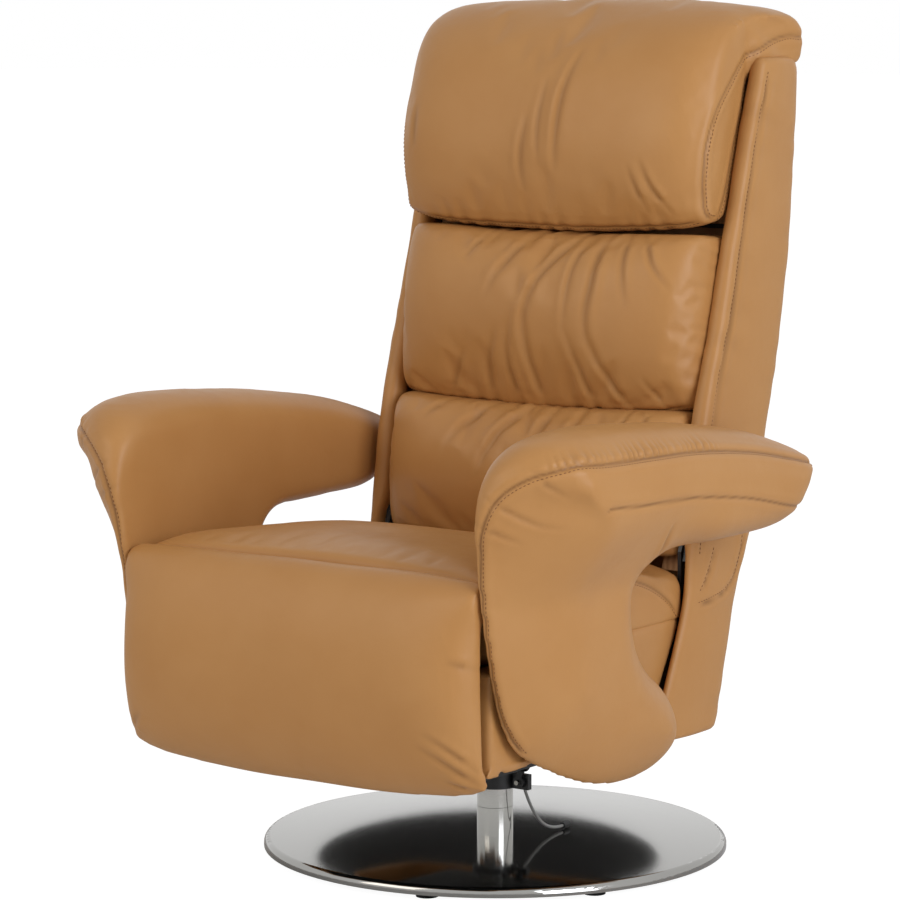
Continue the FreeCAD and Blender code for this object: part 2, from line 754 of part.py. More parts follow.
def make_leg_rest(rail_top):
    hinge_y = "(-Sizes.hinge_forward)"
    hinge_z = "Sizes.hinge_level"
    axle = new_body("leg_rest_rod")
    rod(axle, "-Sizes.hinge_rod_half", hinge_y, hinge_z, "Sizes.hinge_rod_radius", "2 * Sizes.hinge_rod_half", "X")

    lug = new_body("leg_rest_lugs")
    arm = new_body("leg_rest_arms")
    for side in (1, -1):
        start = "Sizes.lug_x" if side > 0 else "-Sizes.lug_x - Sizes.lug_thick"
        shape = outline(
            lug,
            "YZ_Plane",
            [
                ("-Sizes.rest_board_back + 1", "Sizes.board_top - 80"),
                ("-Sizes.rail_front", "Sizes.board_top - 80"),
                ("-Sizes.rail_front", "Sizes.hinge_level - 20"),
                (hinge_y + " + 11", "Sizes.hinge_level"),
                (hinge_y, "Sizes.hinge_level"),
                ("-Sizes.rest_board_back + 1", "Sizes.hinge_level - 20"),
            ],
        )
        shape.setExpression("AttachmentOffset.Base.z", start)
        pad(lug, shape, "Sizes.lug_thick")
        rod(lug, start, hinge_y, hinge_z, "Sizes.lug_ring", "Sizes.lug_thick", "X")
        rod(lug, start, hinge_y, hinge_z, "Sizes.hinge_rod_radius", "Sizes.lug_thick", "X", cut=True)

        offset = "(Sizes.lug_x + Sizes.lug_thick + 2)"
        start = offset if side > 0 else "-%s - Sizes.lug_thick" % offset
        shape = outline(
            arm,
            "YZ_Plane",
            [
                ("-Sizes.rest_board_back", "Sizes.hinge_level - 110"),
                ("-Sizes.rest_board_back + 10", "Sizes.hinge_level - 110"),
                ("-Sizes.rest_board_back + 10", "Sizes.hinge_level"),
                ("-Sizes.rest_board_back - 10", "Sizes.hinge_level"),
                ("-Sizes.rest_board_back - 10", "Sizes.hinge_level - 30"),
                ("-Sizes.rest_board_back", "Sizes.hinge_level - 34"),
            ],
        )
        shape.setExpression("AttachmentOffset.Base.z", start)
        pad(arm, shape, "Sizes.lug_thick")
        rod(arm, start, hinge_y, hinge_z, "Sizes.lug_ring", "Sizes.lug_thick", "X")
        bore = "Sizes.hinge_rod_radius + Sizes.running_gap"
        rod(arm, start, hinge_y, hinge_z, bore, "Sizes.lug_thick", "X", cut=True)

    board = new_body("leg_rest_board")
    half = "(Sizes.rest_half - 30)"
    board_low = "(Sizes.rest_foot + 22)"
    box(
        board,
        "-" + half,
        "-Sizes.rest_board_back - Sizes.rest_board_thick",
        board_low,
        "2 * " + half,
        "Sizes.rest_board_thick",
        "Sizes.hinge_level - 34 - %s" % board_low,
    )


SLOT_SHARES = [step / 8 for step in range(9)]


def slot_path():
    # Path of the lift pin in the leg rest's own frame, from the hinge.
    points = []
    for share in SLOT_SHARES:
        angle = math.radians(size["lift_angle"] * share)
        y = size["pin_back"] - size["lift_stroke"] * share
        z = -size["pin_drop"]
        across = y * math.cos(angle) - z * math.sin(angle)
        up = y * math.sin(angle) + z * math.cos(angle)
        points.append(V(0, across - size["hinge_forward"], up + size["hinge_level"]))
    return points


def thick_path(points, radius, low, high):
    spline = Part.BSplineCurve()
    spline.interpolate(points)
    first, last = spline.FirstParameter, spline.LastParameter
    sides = []
    for side in (1, -1):
        rail = []
        for share in SLOT_SHARES:
            here = first + (last - first) * share
            along = spline.tangent(here)[0]
            outwards = V(0, -along.z, along.y) * side
            rail.append(spline.value(here) + outwards * radius)
        sides.append(rail)
    edges = []
    for rail in sides:
        curve = Part.BSplineCurve()
        curve.interpolate(rail)
        edges.append(curve.toShape())
    for here, sign in ((first, -1), (last, 1)):
        along = spline.tangent(here)[0]
        end = sides[0][0 if sign < 0 else -1]
        other = sides[1][0 if sign < 0 else -1]
        edges.append(Part.Arc(end, spline.value(here) + along * radius * sign, other).toShape())
    face = Part.Face(Part.Wire(Part.__sortEdges__(edges)))
    solid = face.extrude(V(high - low, 0, 0))
    solid.translate(V(low, 0, 0))
    return solid


def make_lift():
    path = slot_path()
    half = size["cam_thick"] / 2
    slot_radius = size["pin_radius"] + size["pin_play"]
    plate = thick_path(path, slot_radius + size["cam_wall"], -half, half)
    foot = Part.makeBox(
        size["cam_thick"],
        size["pin_back"],
        size["pin_drop"] * 0.4,
        V(-half, -size["rest_board_back"], size["hinge_level"] - size["pin_drop"] - 10),
    )
    plate = plate.fuse(foot)
    clear_board = Part.makeBox(50, 100, 300, V(-25, -size["rest_board_back"] - 100, 150))
    plate = plate.cut(clear_board)
    slot = thick_path(path, slot_radius, -half - 1, half + 1)
    add_form("lift_plate", plate.cut(slot))

    pin_y = "(Sizes.pin_back - Sizes.hinge_forward)"
    level = "(Sizes.hinge_level - Sizes.pin_drop)"
    rod_body = new_body("lift_rod")
    rod(rod_body, "Sizes.rod_x", pin_y + " - Sizes.rod_radius", level, "Sizes.rod_radius", "Sizes.rod_long", "Y")
    pin_start = "-Sizes.cam_thick"
    rod(rod_body, pin_start, pin_y, level, "Sizes.pin_radius", "Sizes.rod_x + Sizes.cam_thick", "X")

    tube = new_body("lift_tube")
    front = "(%s + 14)" % pin_y
    outer = "(Sizes.rod_radius + Sizes.tube_wall)"
    rod(tube, "Sizes.rod_x", front, level, outer, "-%s - Sizes.motor_reach" % front, "Y")
    bore = "Sizes.rod_radius + Sizes.running_gap"
    rod(tube, "Sizes.rod_x", front, level, bore, "-%s - Sizes.motor_reach" % front, "Y", cut=True)

    motor = new_body("lift_motor")
    box(
        motor,
        "Sizes.rod_x - Sizes.motor_wide / 2",
        "-Sizes.motor_reach",
        level + " - Sizes.motor_drop",
        "Sizes.motor_wide",
        "Sizes.motor_reach - Sizes.board_thick",
        "Sizes.motor_high",
    )
    rod(
        motor,
        "Sizes.rod_x",
        "-Sizes.motor_reach - Sizes.motor_long",
        level + " - Sizes.motor_below",
        "Sizes.motor_radius",
        "Sizes.motor_long",
        "Y",
    )
    round_edges(motor, "4", lambda e: e.Length > 48 and e.Length < 53 and e.Curve.TypeId == "Part::GeomLine")


# Back frame


def make_back_frame():
    rise = "(Sizes.shell_top - Sizes.lean_z - 20)"
    run = "(%s * Sizes.lean_slope)" % rise
    uprights = (("left", "Sizes.upright_half - Sizes.upright_deep"), ("right", "-Sizes.upright_half"))
    posts = []
    for name, start in uprights:
        upright = new_body("back_upright_" + name)
        posts.append(upright)
        shape = outline(
            upright,
            "YZ_Plane",
            [
                ("Sizes.lean_y", "Sizes.lean_z"),
                ("Sizes.lean_y + Sizes.upright_deep", "Sizes.lean_z"),
                ("Sizes.lean_y + Sizes.upright_deep + " + run, "Sizes.lean_z + " + rise),
                ("Sizes.lean_y + " + run, "Sizes.lean_z + " + rise),
            ],
        )
        shape.setExpression("AttachmentOffset.Base.z", start)
        pad(upright, shape, "Sizes.upright_deep")

    low_level = "(Sizes.lean_z + Sizes.upright_deep)"
    high_level = "(Sizes.lean_z + %s - Sizes.upright_deep)" % rise
    through = "(Sizes.shell_half - Sizes.shell_wall)"
    between = "(Sizes.upright_half - Sizes.upright_deep)"
    stretchers = new_body("back_stretchers")
    spans = [(low_level, between)]
    spans += [(level, through) for level in ("Sizes.waist_z", "Sizes.nod_z", high_level)]
    for level, half in spans:
        y = "(Sizes.lean_y + (%s - Sizes.lean_z) * Sizes.lean_slope + Sizes.upright_deep / 2)" % level
        rod(stretchers, "-" + half, y, level, "Sizes.stretcher_radius", "2 * " + half, "X")
        for index, (name, start) in enumerate(uprights):
            if half == through:
                rod(posts[index], start, y, level, "Sizes.stretcher_radius", "Sizes.upright_deep", "X", cut=True)

    blocks = new_body("hinge_blocks")
    low = "(Sizes.pivot_z + 50)"
    high = "(Sizes.pivot_z + 145)"
    side = "(Sizes.frame_half + Sizes.board_thick + Sizes.plate_thick + Sizes.seat_gap)"
    for start in ("Sizes.upright_half", "-" + side):
        corners = []
        for level, back in ((low, "4"), (low, "Sizes.upright_deep"), (high, "Sizes.upright_deep"), (high, "4")):
            y = "Sizes.lean_y + (%s - Sizes.lean_z) * Sizes.lean_slope + %s" % (level, back)
            corners.append((y, level))
        shape = outline(blocks, "YZ_Plane", corners)
        shape.setExpression("AttachmentOffset.Base.z", start)
        pad(blocks, shape, side + " - Sizes.upright_half")

    webbing = new_body("back_webbing")
    for share in ("0.12", "0.22", "0.32", "0.54", "0.64"):
        level = "(Sizes.lean_z + %s * %s)" % (share, rise)
        y = "(Sizes.lean_y + %s * %s)" % (share, run)
        wide = "0.7 * Sizes.web_wide"
        strip = outline(
            webbing,
            "YZ_Plane",
            [
                (y + " - Sizes.web_thick", level),
                (y, level),
                ("%s + %s * Sizes.lean_slope" % (y, wide), "%s + %s" % (level, wide)),
                ("%s + %s * Sizes.lean_slope - Sizes.web_thick" % (y, wide), "%s + %s" % (level, wide)),
            ],
        )
        pad(webbing, strip, "2 * Sizes.upright_half", both_ways=True)


# Headrest hinge


def make_headrest_hinge():
    nod_y = "Sizes.nod_y"
    nod_z = "Sizes.nod_z"
    bar_y = "(Sizes.lean_y + (Sizes.nod_z - Sizes.lean_z) * Sizes.lean_slope + Sizes.upright_deep / 2)"
    thick = "Sizes.plate_thick"
    brackets = new_body("head_hinge_brackets")
    arms = new_body("head_hinge_arms")
    pins = new_body("head_hinge_pins")
    board_y = "(Sizes.lean_y + (%s - Sizes.lean_z) * Sizes.lean_slope)"
    low_y = board_y % "Sizes.head_board_low"
    for side in (1, -1):
        start = "Sizes.nod_x" if side > 0 else "-Sizes.nod_x - Sizes.plate_thick"
        step = "(Sizes.plate_thick + Sizes.seat_gap)"
        arm_start = start + (" + " if side > 0 else " - ") + step
        eye = "2 * Sizes.nod_pin_radius"
        rod(brackets, start, nod_y, nod_z, eye, thick, "X")
        box(
            brackets,
            start,
            nod_y,
            nod_z + " - Sizes.nod_pin_radius",
            thick,
            "%s - %s" % (bar_y, nod_y),
            eye,
        )
        rod(brackets, start, bar_y, nod_z, "Sizes.stretcher_radius + Sizes.plate_thick", thick, "X")
        rod(brackets, start, bar_y, nod_z, "Sizes.stretcher_radius + Sizes.running_gap", thick, "X", cut=True)
        rod(brackets, start, nod_y, nod_z, "Sizes.nod_pin_radius + Sizes.running_gap", thick, "X", cut=True)

        rod(arms, arm_start, nod_y, nod_z, eye, thick, "X")
        shape = outline(
            arms,
            "YZ_Plane",
            [
                (nod_y + " - Sizes.nod_pin_radius", nod_z),
                (nod_y + " + Sizes.nod_pin_radius", nod_z + " - 5"),
                (low_y + " - 14", "Sizes.head_board_low + 0.5"),
                (low_y + " - 14", "Sizes.head_board_low + 20"),
                (low_y + " - 24", "Sizes.head_board_low + 10"),
            ],
        )
        shape.setExpression("AttachmentOffset.Base.z", arm_start)
        pad(arms, shape, thick)
        rod(arms, arm_start, nod_y, nod_z, "Sizes.nod_pin_radius", thick, "X", cut=True)

        pin_start = "Sizes.nod_x - 1" if side > 0 else "-Sizes.nod_x - 2 * Sizes.plate_thick - 2"
        rod(pins, pin_start, nod_y, nod_z, "Sizes.nod_pin_radius", "2 * Sizes.plate_thick + 3", "X")

    board = new_body("headrest_board")
    face = []
    for level, edge in (("Sizes.head_board_low", "-"), ("Sizes.head_board_high", "-")):
        face.append((board_y % level, level))
    rear_play = "Sizes.board_play"
    shape = outline(
        board,
        "YZ_Plane",
        [
            ("%s - %s - Sizes.head_board_thick" % (face[0][0], rear_play), face[0][1]),
            ("%s - %s" % (face[0][0], rear_play), face[0][1]),
            ("%s - %s" % (face[1][0], rear_play), face[1][1]),
            ("%s - %s - Sizes.head_board_thick" % (face[1][0], rear_play), face[1][1]),
        ],
    )
    pad(board, shape, "2 * (Sizes.upright_half - Sizes.upright_deep)", both_ways=True)


# Low voltage lead

LEAD_ROUTE = [
    (47, 0, 82.8),
    (52, 8, 54),
    (60, 36, 24.6),
    (59, 69, 24.6),
]


def rounded_route(points):
    route = [V(*point) for point in points]
    runs = [(b - a).Length for a, b in zip(route, route[1:])]
    edges = []
    start = route[0]
    for index in range(1, len(route) - 1):
        corner = route[index]
        back = (route[index - 1] - corner).normalize()
        ahead = (route[index + 1] - corner).normalize()
        turn = math.pi - back.getAngle(ahead)
        reach = 0.45 * min(runs[index - 1], runs[index])
        radius = reach / math.tan(turn / 2)
        print("lead bend radius", round(radius, 1))
        inward = (back + ahead).normalize()
        middle = corner + inward * (radius / math.cos(turn / 2) - radius)
        first = corner + back * reach
        last = corner + ahead * reach
        edges.append(Part.LineSegment(start, first).toShape())
        edges.append(Part.Arc(first, middle, last).toShape())
        start = last
    edges.append(Part.LineSegment(start, route[-1]).toShape())
    return Part.Wire(edges)


def make_lead():
    spine = rounded_route(LEAD_ROUTE)
    start = V(*LEAD_ROUTE[0])
    along = (V(*LEAD_ROUTE[1]) - start).normalize()
    ring = Part.Wire(Part.makeCircle(size["lead_radius"], start, along))
    lead = spine.makePipeShell([ring], True, False)
    length = spine.Length
    section = math.pi * size["lead_radius"] ** 2
    print("lead length", round(length, 1), "volume ratio", round(lead.Volume / (length * section), 4))
    add_form("lead", lead)
    end = V(*LEAD_ROUTE[-1])
    along = (end - V(*LEAD_ROUTE[-2])).normalize()
    plug = Part.makeCylinder(size["plug_radius"], size["plug_long"], end, V(along.x, along.y, 0))
    add_form("lead_plug", plug)


# Upholstery


def side_wall_corners():
    foot = size["shell_foot"]
    top = size["shell_top"]
    front = [
        (38, foot, 4),
        (31, 241, 20),
        (64, 345, 30),
        (101, 555, 200),
        (143, 685, 300),
        (188, 854, 400),
        (234, top, 8),
    ]
    rear = [
        (327, top, 18),
        (318, 901, 300),
        (303, 771, 300),
        (280, 656, 400),
        (249, 540, 400),
        (172, 327, 300),
        (143, 210, 200),
        (133, foot, 10),
    ]
    return front + rear


def make_back_shell():
    half = size["shell_half"]
    wall = size["shell_wall"]
    corners = side_wall_corners()
    outer = across_chair(corners, -half, half)
    hollow_rear = [(y - wall, z, r) for y, z, r in corners[8:-1]]
    hollow = [(-60, 100, 0), (-60, size["shell_top"] - wall, 0)]
    hollow.append((corners[7][0] - wall, size["shell_top"] - wall, 0))
    hollow += hollow_rear
    hollow.append((corners[-1][0] - wall, 100, 0))
    inner = across_chair(hollow, -half + wall, half - wall)
    mouth = Part.makeBox(
        2 * (half - wall),
        400,
        60,
        V(wall - half, lean_line(size["shell_top"]) - 400, size["shell_top"] - 40),
    )
    shell = outer.cut(inner).cut(mouth)
    rims = []
    for edge in shell.Edges:
        bounds = edge.BoundBox
        at_side = abs(abs(bounds.XMin) - half) < 1e-4 and abs(bounds.XLength) < 1e-4
        if at_side and bounds.YMin > 128:
            rims.append(edge)
    add_form("back_shell", shell.makeFillet(9, rims))


def lean_line(z):
    # Front of the back frame at height z.
    return size["lean_y"] + size["lean_slope"] * (z - size["lean_z"])


def rear_line(z):
    return lean_line(z) - size["web_thick"]


def head_rear_line(z):
    return lean_line(z) - size["board_play"] - size["head_board_thick"]


def pillow(label, front, low, high, half, rounding):
    # Back cushion: front is a list of (y, z, radius) from low to high.
    corners = list(front) + [(rear_line(high), high, 12), (rear_line(low), low, 12)]
    shape = across_chair(corners, -half, half)
    edges = end_edges(shape, half) + end_edges(shape, -half)
    add_form(label, shape.makeFillet(rounding, edges))


def make_back_cushions():
    half = size["cushion_half"]
    lower = [(58, 395, 25), (48, 480, 120), (80, 570, 25)]
    pillow("lumbar_cushion", lower, 395, 570, half - 10, 10)
    middle = [(92, 576, 28), (76, 650, 150), (106, 798, 40)]
    pillow("middle_cushion", middle, 576, 798, half, 10)


def make_headrest():
    half = size["cushion_half"]
    top = size["head_top"]
    roll = size["nod_roll"]
    under = size["shell_top"] + size["seat_gap"]
    nod_y = size["nod_y"]
    nod_z = size["nod_z"]
    neck = size["head_board_low"] - 4
    corners = [
        (nod_y - roll, nod_z - roll, roll * 0.88),
        (94, 935, 160),
        (150, top - 10, 70),
        (332, top - 6, 40),
        (329, under, 16),
        (head_rear_line(under), under, 0),
        (head_rear_line(neck), neck, 0),
        (nod_y + roll, nod_z - roll, roll * 0.88),
    ]
    shape = across_chair(corners, -half, half)
    shape = shape.makeFillet(14, end_edges(shape, half) + end_edges(shape, -half))
    slot = size["nod_slot"]
    for start in (size["nod_x"] - 2, 2 - size["nod_x"] - slot):
        room = Part.makeBox(slot, 90, roll + 68, V(start, nod_y - 13, nod_z - roll))
        shape = shape.cut(room)
    add_form("headrest_cushion", shape)


def make_leg_rest_pad():
    half = size["rest_half"]
    y = -size["hinge_forward"]
    z = size["hinge_level"]
    roll = size["roll_radius"]
    foot = size["rest_foot"]
    bulge = -size["rest_bulge"]
    back = -size["rest_board_back"]
    corners = [
        (y - roll + 6, z + roll, roll + 1),
        (bulge, z - 44, 60),
        (bulge, 250, 120),
        (y - 23, foot, 30),
        (y + 17, foot, 14),
        (y + 12, foot + 30, 12),
        (back, foot + 60, 12),
        (back, z - roll, 8),
        (y + roll, z - roll, roll * 0.6),
        (y + roll, z + roll, roll - 1),
    ]
    pad_shape = across_chair(corners, -half, half)
    ends = end_edges(pad_shape, half) + end_edges(pad_shape, -half)
    pad_shape = pad_shape.makeFillet(6, ends)
    play = size["seat_gap"]
    board = Part.makeBox(
        2 * (half - 30 + play),
        size["rest_board_thick"] + 40,
        z - 34 - foot - 22 + 2 * play,
        V(-half + 30 - play, back - size["rest_board_thick"] - play, foot + 22 - play),
    )
    pad_shape = pad_shape.cut(board)
    rod_room = Part.makeCylinder(
        size["hinge_rod_radius"] + 1.5,
        2 * size["hinge_rod_half"] + 2,
        V(-size["hinge_rod_half"] - 1, y, z),
        V(1, 0, 0),
    )
    pad_shape = pad_shape.cut(rod_room)
    slot_low = size["lug_x"] - 3
    slot_wide = 2 * size["lug_thick"] + 8
    for start in (slot_low, -slot_low - slot_wide):
        eye_room = Part.makeCylinder(size["lug_ring"] + 2, slot_wide, V(start, y, z), V(1, 0, 0))
        swing_room = Part.makeBox(slot_wide, 40, 66, V(start, y - 8, z - 46))
        pad_shape = pad_shape.cut(eye_room).cut(swing_room)
    add_form("leg_rest_pad", pad_shape)


def make_seat_cushion():
    front = -size["seat_front"]
    rear = size["seat_rear"]
    low = size["board_top"] + size["web_thick"]
    corners = [
        (front, low, 0),
        (front, size["hinge_level"] + size["roll_radius"] + 4, 0),
        (front - 20, size["hinge_level"] + size["roll_radius"] + 4, 0),
        (front - 18, size["seat_front_top"] + 3, 2),
        (front + 66, size["seat_front_top"] + 12, 250),
        (-118, size["seat_front_top"] - 4, 300),
        (-18, size["seat_rear_top"] + 12, 150),
        (rear - 45, size["seat_rear_top"], 30),
        (rear, size["seat_rear_top"] - 22, 25),
        (rear, low, 0),
    ]
    wide = across_chair(corners, -size["seat_half"], size["seat_half"])
    tail_cut = size["seat_half"] - size["seat_tail_half"]
    for start in (size["seat_tail_half"], -size["seat_half"]):
        wide = wide.cut(Part.makeBox(tail_cut, 300, 400, V(start, -size["tail_start"], 200)))
    add_form("seat_cushion", wide)


def make_side_covers():
    low = size["cover_low"]
    inner = size["frame_half"] + size["board_thick"]
    corners = [
        (-size["rail_front"], low, 10),
        (-size["rail_front"], size["board_top"], 10),
        (54, size["board_top"], 10),
        (66, 303, 5),
        (-2, low, 8),
    ]
    cover = across_chair(corners, inner, size["seat_half"])
    tail = Part.makeBox(60, 300, 400, V(size["seat_tail_half"], -size["tail_start"], 150))
    pocket = Part.makeBox(size["plate_thick"] + size["seat_gap"], 200, 300, V(inner, 4, 150))
    cover = cover.cut(tail).cut(pocket)
    add_form("side_cover_left", cover)
    add_form("side_cover_right", mirrored(cover))


def make_arms():
    inside = size["arm_inside"]
    crown = size["arm_crown"]
    under = size["arm_under"]
    bulge = size["arm_bulge"]
    reach = -size["arm_reach"]
    tail = size["arm_tail"]
    foot = size["leaf_foot"]
    leaf = inside + size["leaf_thick"]
    bend = -size["arm_bend"]
    drop = size["arm_drop"]
    wide = bulge - inside
    front_profile = [
        (inside, foot - 80, 0),
        (inside, crown, 0.42 * wide),
        (bulge - 12, crown, 0.46 * wide),
        (bulge + 3, (crown + under) / 2 - 12, 0.48 * wide),
        (leaf + 0.45 * (bulge - leaf), under, 25),
        (leaf, under - 45, 60),
        (leaf, foot - 80, 0),
    ]
    wire = rounded_wire(front_profile, lambda p: V(p.x, reach - 5, p.y))
    level = Part.Face(wire).extrude(V(0, bend - reach + 5, 0))
    wire = rounded_wire(front_profile, lambda p: V(p.x, bend, p.y))
    slope = Part.Face(wire).extrude(V(0, tail + 20 - bend, -drop))
    side_profile = [
        (reach, crown - 1, 72),
        (bend, crown - 1, 500),
        (tail, crown - drop, 20),
        (tail - 55, under - 2, 40),
        (-154, under, 22),
        (-140, 325, 60),
        (-36, 250, 35),
        (-40, foot, 48),
        (-190, foot - 2, 80),
        (-352, 204, 50),
        (reach + 30, 330, 300),
        (reach + 4, 470, 200),
    ]
    side = across_chair(side_profile, inside - 5, bulge + 30)
    arm = level.fuse(slope).common(side)
    add_form("arm_left", arm)
    add_form("arm_right", mirrored(arm))

    mount = new_body("arm_mounts")
    for side in (1, -1):
        start = "Sizes.seat_half" if side > 0 else "-Sizes.arm_inside"
        box(
            mount,
            start,
            "-Sizes.mount_front",
            "Sizes.mount_low",
            "Sizes.arm_set",
            "Sizes.mount_long",
            "Sizes.mount_high",
        )


def write_parts():
    doc.recompute()
    for item in doc.Objects:
        if "Invalid" in item.State or "Error" in item.State:
            raise RuntimeError("%s failed: %s" % (item.Name, item.State))
    for item in sub_parts:
        shape = item.Shape
        if shape.isNull() or not shape.isValid():
            raise RuntimeError("%s has no valid shape" % item.Label)
        shape.exportStep("parts/%s.step" % item.Label)
        print(item.Label, len(shape.Solids), round(shape.Volume / 1000.0, 1))


disc_top = make_base()
sleeve_top = make_swivel(disc_top)
frame_top = make_seat_frame(sleeve_top)
make_recline_hinge()
make_leg_rest(frame_top)
make_lift()
make_back_frame()
make_headrest_hinge()
make_back_shell()
make_back_cushions()
make_headrest()
make_leg_rest_pad()
make_seat_cushion()
make_side_covers()
make_arms()
make_lead()
write_parts()
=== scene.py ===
import json
import math

import bmesh
import bpy
import numpy as np
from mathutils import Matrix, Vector
from mathutils.bvhtree import BVHTree


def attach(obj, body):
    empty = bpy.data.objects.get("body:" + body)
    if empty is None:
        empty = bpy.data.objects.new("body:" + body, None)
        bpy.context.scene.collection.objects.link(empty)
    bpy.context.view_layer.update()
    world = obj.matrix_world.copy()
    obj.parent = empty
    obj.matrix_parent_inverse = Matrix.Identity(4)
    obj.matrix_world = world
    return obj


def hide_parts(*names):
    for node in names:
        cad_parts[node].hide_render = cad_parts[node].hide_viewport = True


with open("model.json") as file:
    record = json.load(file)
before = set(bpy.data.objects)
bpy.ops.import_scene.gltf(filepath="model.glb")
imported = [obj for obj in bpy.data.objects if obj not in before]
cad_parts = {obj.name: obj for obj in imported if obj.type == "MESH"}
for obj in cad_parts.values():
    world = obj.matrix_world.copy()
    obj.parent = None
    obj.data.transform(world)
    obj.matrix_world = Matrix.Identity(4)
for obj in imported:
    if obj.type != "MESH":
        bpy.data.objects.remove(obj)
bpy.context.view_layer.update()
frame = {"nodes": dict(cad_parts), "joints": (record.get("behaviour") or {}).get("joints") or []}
scene = bpy.context.scene
nodes = frame["nodes"]
swivel = next(j for j in frame["joints"] if j["name"] == "swivel")
axleY = swivel["pos_m"][1]  # the column stands this far behind the origin
rng = np.random.default_rng(7)


# places are written in millimetres from the column's axis, as in the CAD


def place(x, y, z):
    return Vector((x / 1000, y / 1000 + axleY, z / 1000))


def places(points):
    return [place(*p) for p in points]


# camera first: 36 degrees to the chair's left with a long lens, at the headrest's height

view = {"turn": 35.73, "down": 7.05, "lens": 144.5, "spot": (2638.5, -3768.1, 1090)}
camera = bpy.data.objects.new("camera", bpy.data.cameras.new("camera"))
camera.data.lens = view["lens"]
camera.data.sensor_width = 36
camera.data.clip_end = 60
camera.location = place(*view["spot"])
camera.rotation_euler = (math.radians(90 - view["down"]), 0, math.radians(view["turn"]))
scene.collection.objects.link(camera)
scene.camera = camera
scene.view_settings.view_transform = "Standard"


# materials


def paint(code):
    value = int(code.lstrip("#"), 16)
    parts = [(value >> shift & 255) / 255 for shift in (16, 8, 0)]
    parts = [c / 12.92 if c <= 0.04045 else ((c + 0.055) / 1.055) ** 2.4 for c in parts]
    return (*parts, 1)


def addNode(tree, kind, inputs=None, **settings):
    node = tree.nodes.new(kind)
    for name, value in settings.items():
        setattr(node, name, value)
    for name, value in (inputs or {}).items():
        socket = node.inputs[name]
        if isinstance(value, bpy.types.NodeSocket):
            tree.links.new(value, socket)
        else:
            socket.default_value = value
    return node


def mixColour(tree, share, first, second):
    inputs = {"Factor": share, "A": first, "B": second}
    return addNode(tree, "ShaderNodeMix", inputs, data_type="RGBA").outputs["Result"]


def noiseAt(tree, where, size, detail, roughness=0.5):
    # cloudy noise whose largest blots are about size millimetres
    inputs = {"Vector": where, "Scale": 1000 / size, "Detail": detail, "Roughness": roughness}
    return addNode(tree, "ShaderNodeTexNoise", inputs).outputs["Fac"]


def between(tree, value, low, high):
    inputs = {"Value": value, "To Min": low, "To Max": high}
    return addNode(tree, "ShaderNodeMapRange", inputs).outputs[0]


def bumped(tree, height, strength, distance, below=None):
    inputs = {"Height": height, "Strength": strength, "Distance": distance}
    if below:
        inputs["Normal"] = below
    return addNode(tree, "ShaderNodeBump", inputs).outputs[0]


def newMaterial(name):
    material = bpy.data.materials.new(name)
    material.use_nodes = True
    tree = material.node_tree
    tree.nodes.clear()
    shader = addNode(tree, "ShaderNodeBsdfPrincipled")
    out = addNode(tree, "ShaderNodeOutputMaterial")
    tree.links.new(shader.outputs[0], out.inputs[0])
    return material, tree, shader


hide = {
    "base": "#B27E46",
    "light": "#BC8A53",
    # the crease colour is painted shade, mixed into the hide along seam valleys, folds and gathers
    "paintedShade": "#5E3A1A",
    "grain": 1.6,  # pore cells in mm, coarser than real ones so that they show
    "mottle": 90,
    "wrinkle": 14,
    "roughness": 0.42,
    "sheen": 0.32,
}


def smoothLeather(name, look):
    # aniline cowhide, tanned and lightly waxed: even caramel, soft sheen, fine pores
    material, tree, shader = newMaterial(name)
    where = addNode(tree, "ShaderNodeTexCoord").outputs["Object"]
    mottle = noiseAt(tree, where, look["mottle"], 3.0, 0.55)
    tone = mixColour(tree, mottle, paint(look["base"]), paint(look["light"]))
    # painted shade: a point attribute darkens the colour where the seams, folds and gathers dip in
    paintedShade = addNode(tree, "ShaderNodeAttribute", attribute_name="paintedShade")
    dark = mixColour(tree, paintedShade.outputs["Fac"], tone, paint(look["paintedShade"]))
    tree.links.new(dark, shader.inputs["Base Color"])
    cells = {"Vector": where, "Scale": 1000 / look["grain"]}
    pores = addNode(tree, "ShaderNodeTexVoronoi", cells, feature="DISTANCE_TO_EDGE")
    wrinkle = noiseAt(tree, where, look["wrinkle"], 6.0, 0.6)
    low = bumped(tree, wrinkle, 0.22, 0.0012)
    fine = bumped(tree, pores.outputs["Distance"], 0.12, 0.0004, low)
    tree.links.new(fine, shader.inputs["Normal"])
    shine = between(tree, wrinkle, look["roughness"] - 0.06, look["roughness"] + 0.08)
    tree.links.new(shine, shader.inputs["Roughness"])
    shader.inputs["IOR"].default_value = 1.48
    shader.inputs["Specular IOR Level"].default_value = look["sheen"]
    return material


def plainFinish(name, colour, roughness, metallic=0.0, bump=0.0, scale=1.0, spread=0.06):
    material, tree, shader = newMaterial(name)
    shader.inputs["Metallic"].default_value = metallic
    where = addNode(tree, "ShaderNodeTexCoord").outputs["Object"]
    noise = noiseAt(tree, where, scale, 4.0)
    level = between(tree, noise, 1 - spread, 1 + spread)
    tone = addNode(tree, "ShaderNodeHueSaturation", {"Color": paint(colour), "Value": level})
    tree.links.new(tone.outputs[0], shader.inputs["Base Color"])
    gloss = between(tree, noise, roughness * 0.85, roughness * 1.15)
    tree.links.new(gloss, shader.inputs["Roughness"])
    if bump:
        tree.links.new(bumped(tree, noise, bump, 0.0005), shader.inputs["Normal"])
    return material


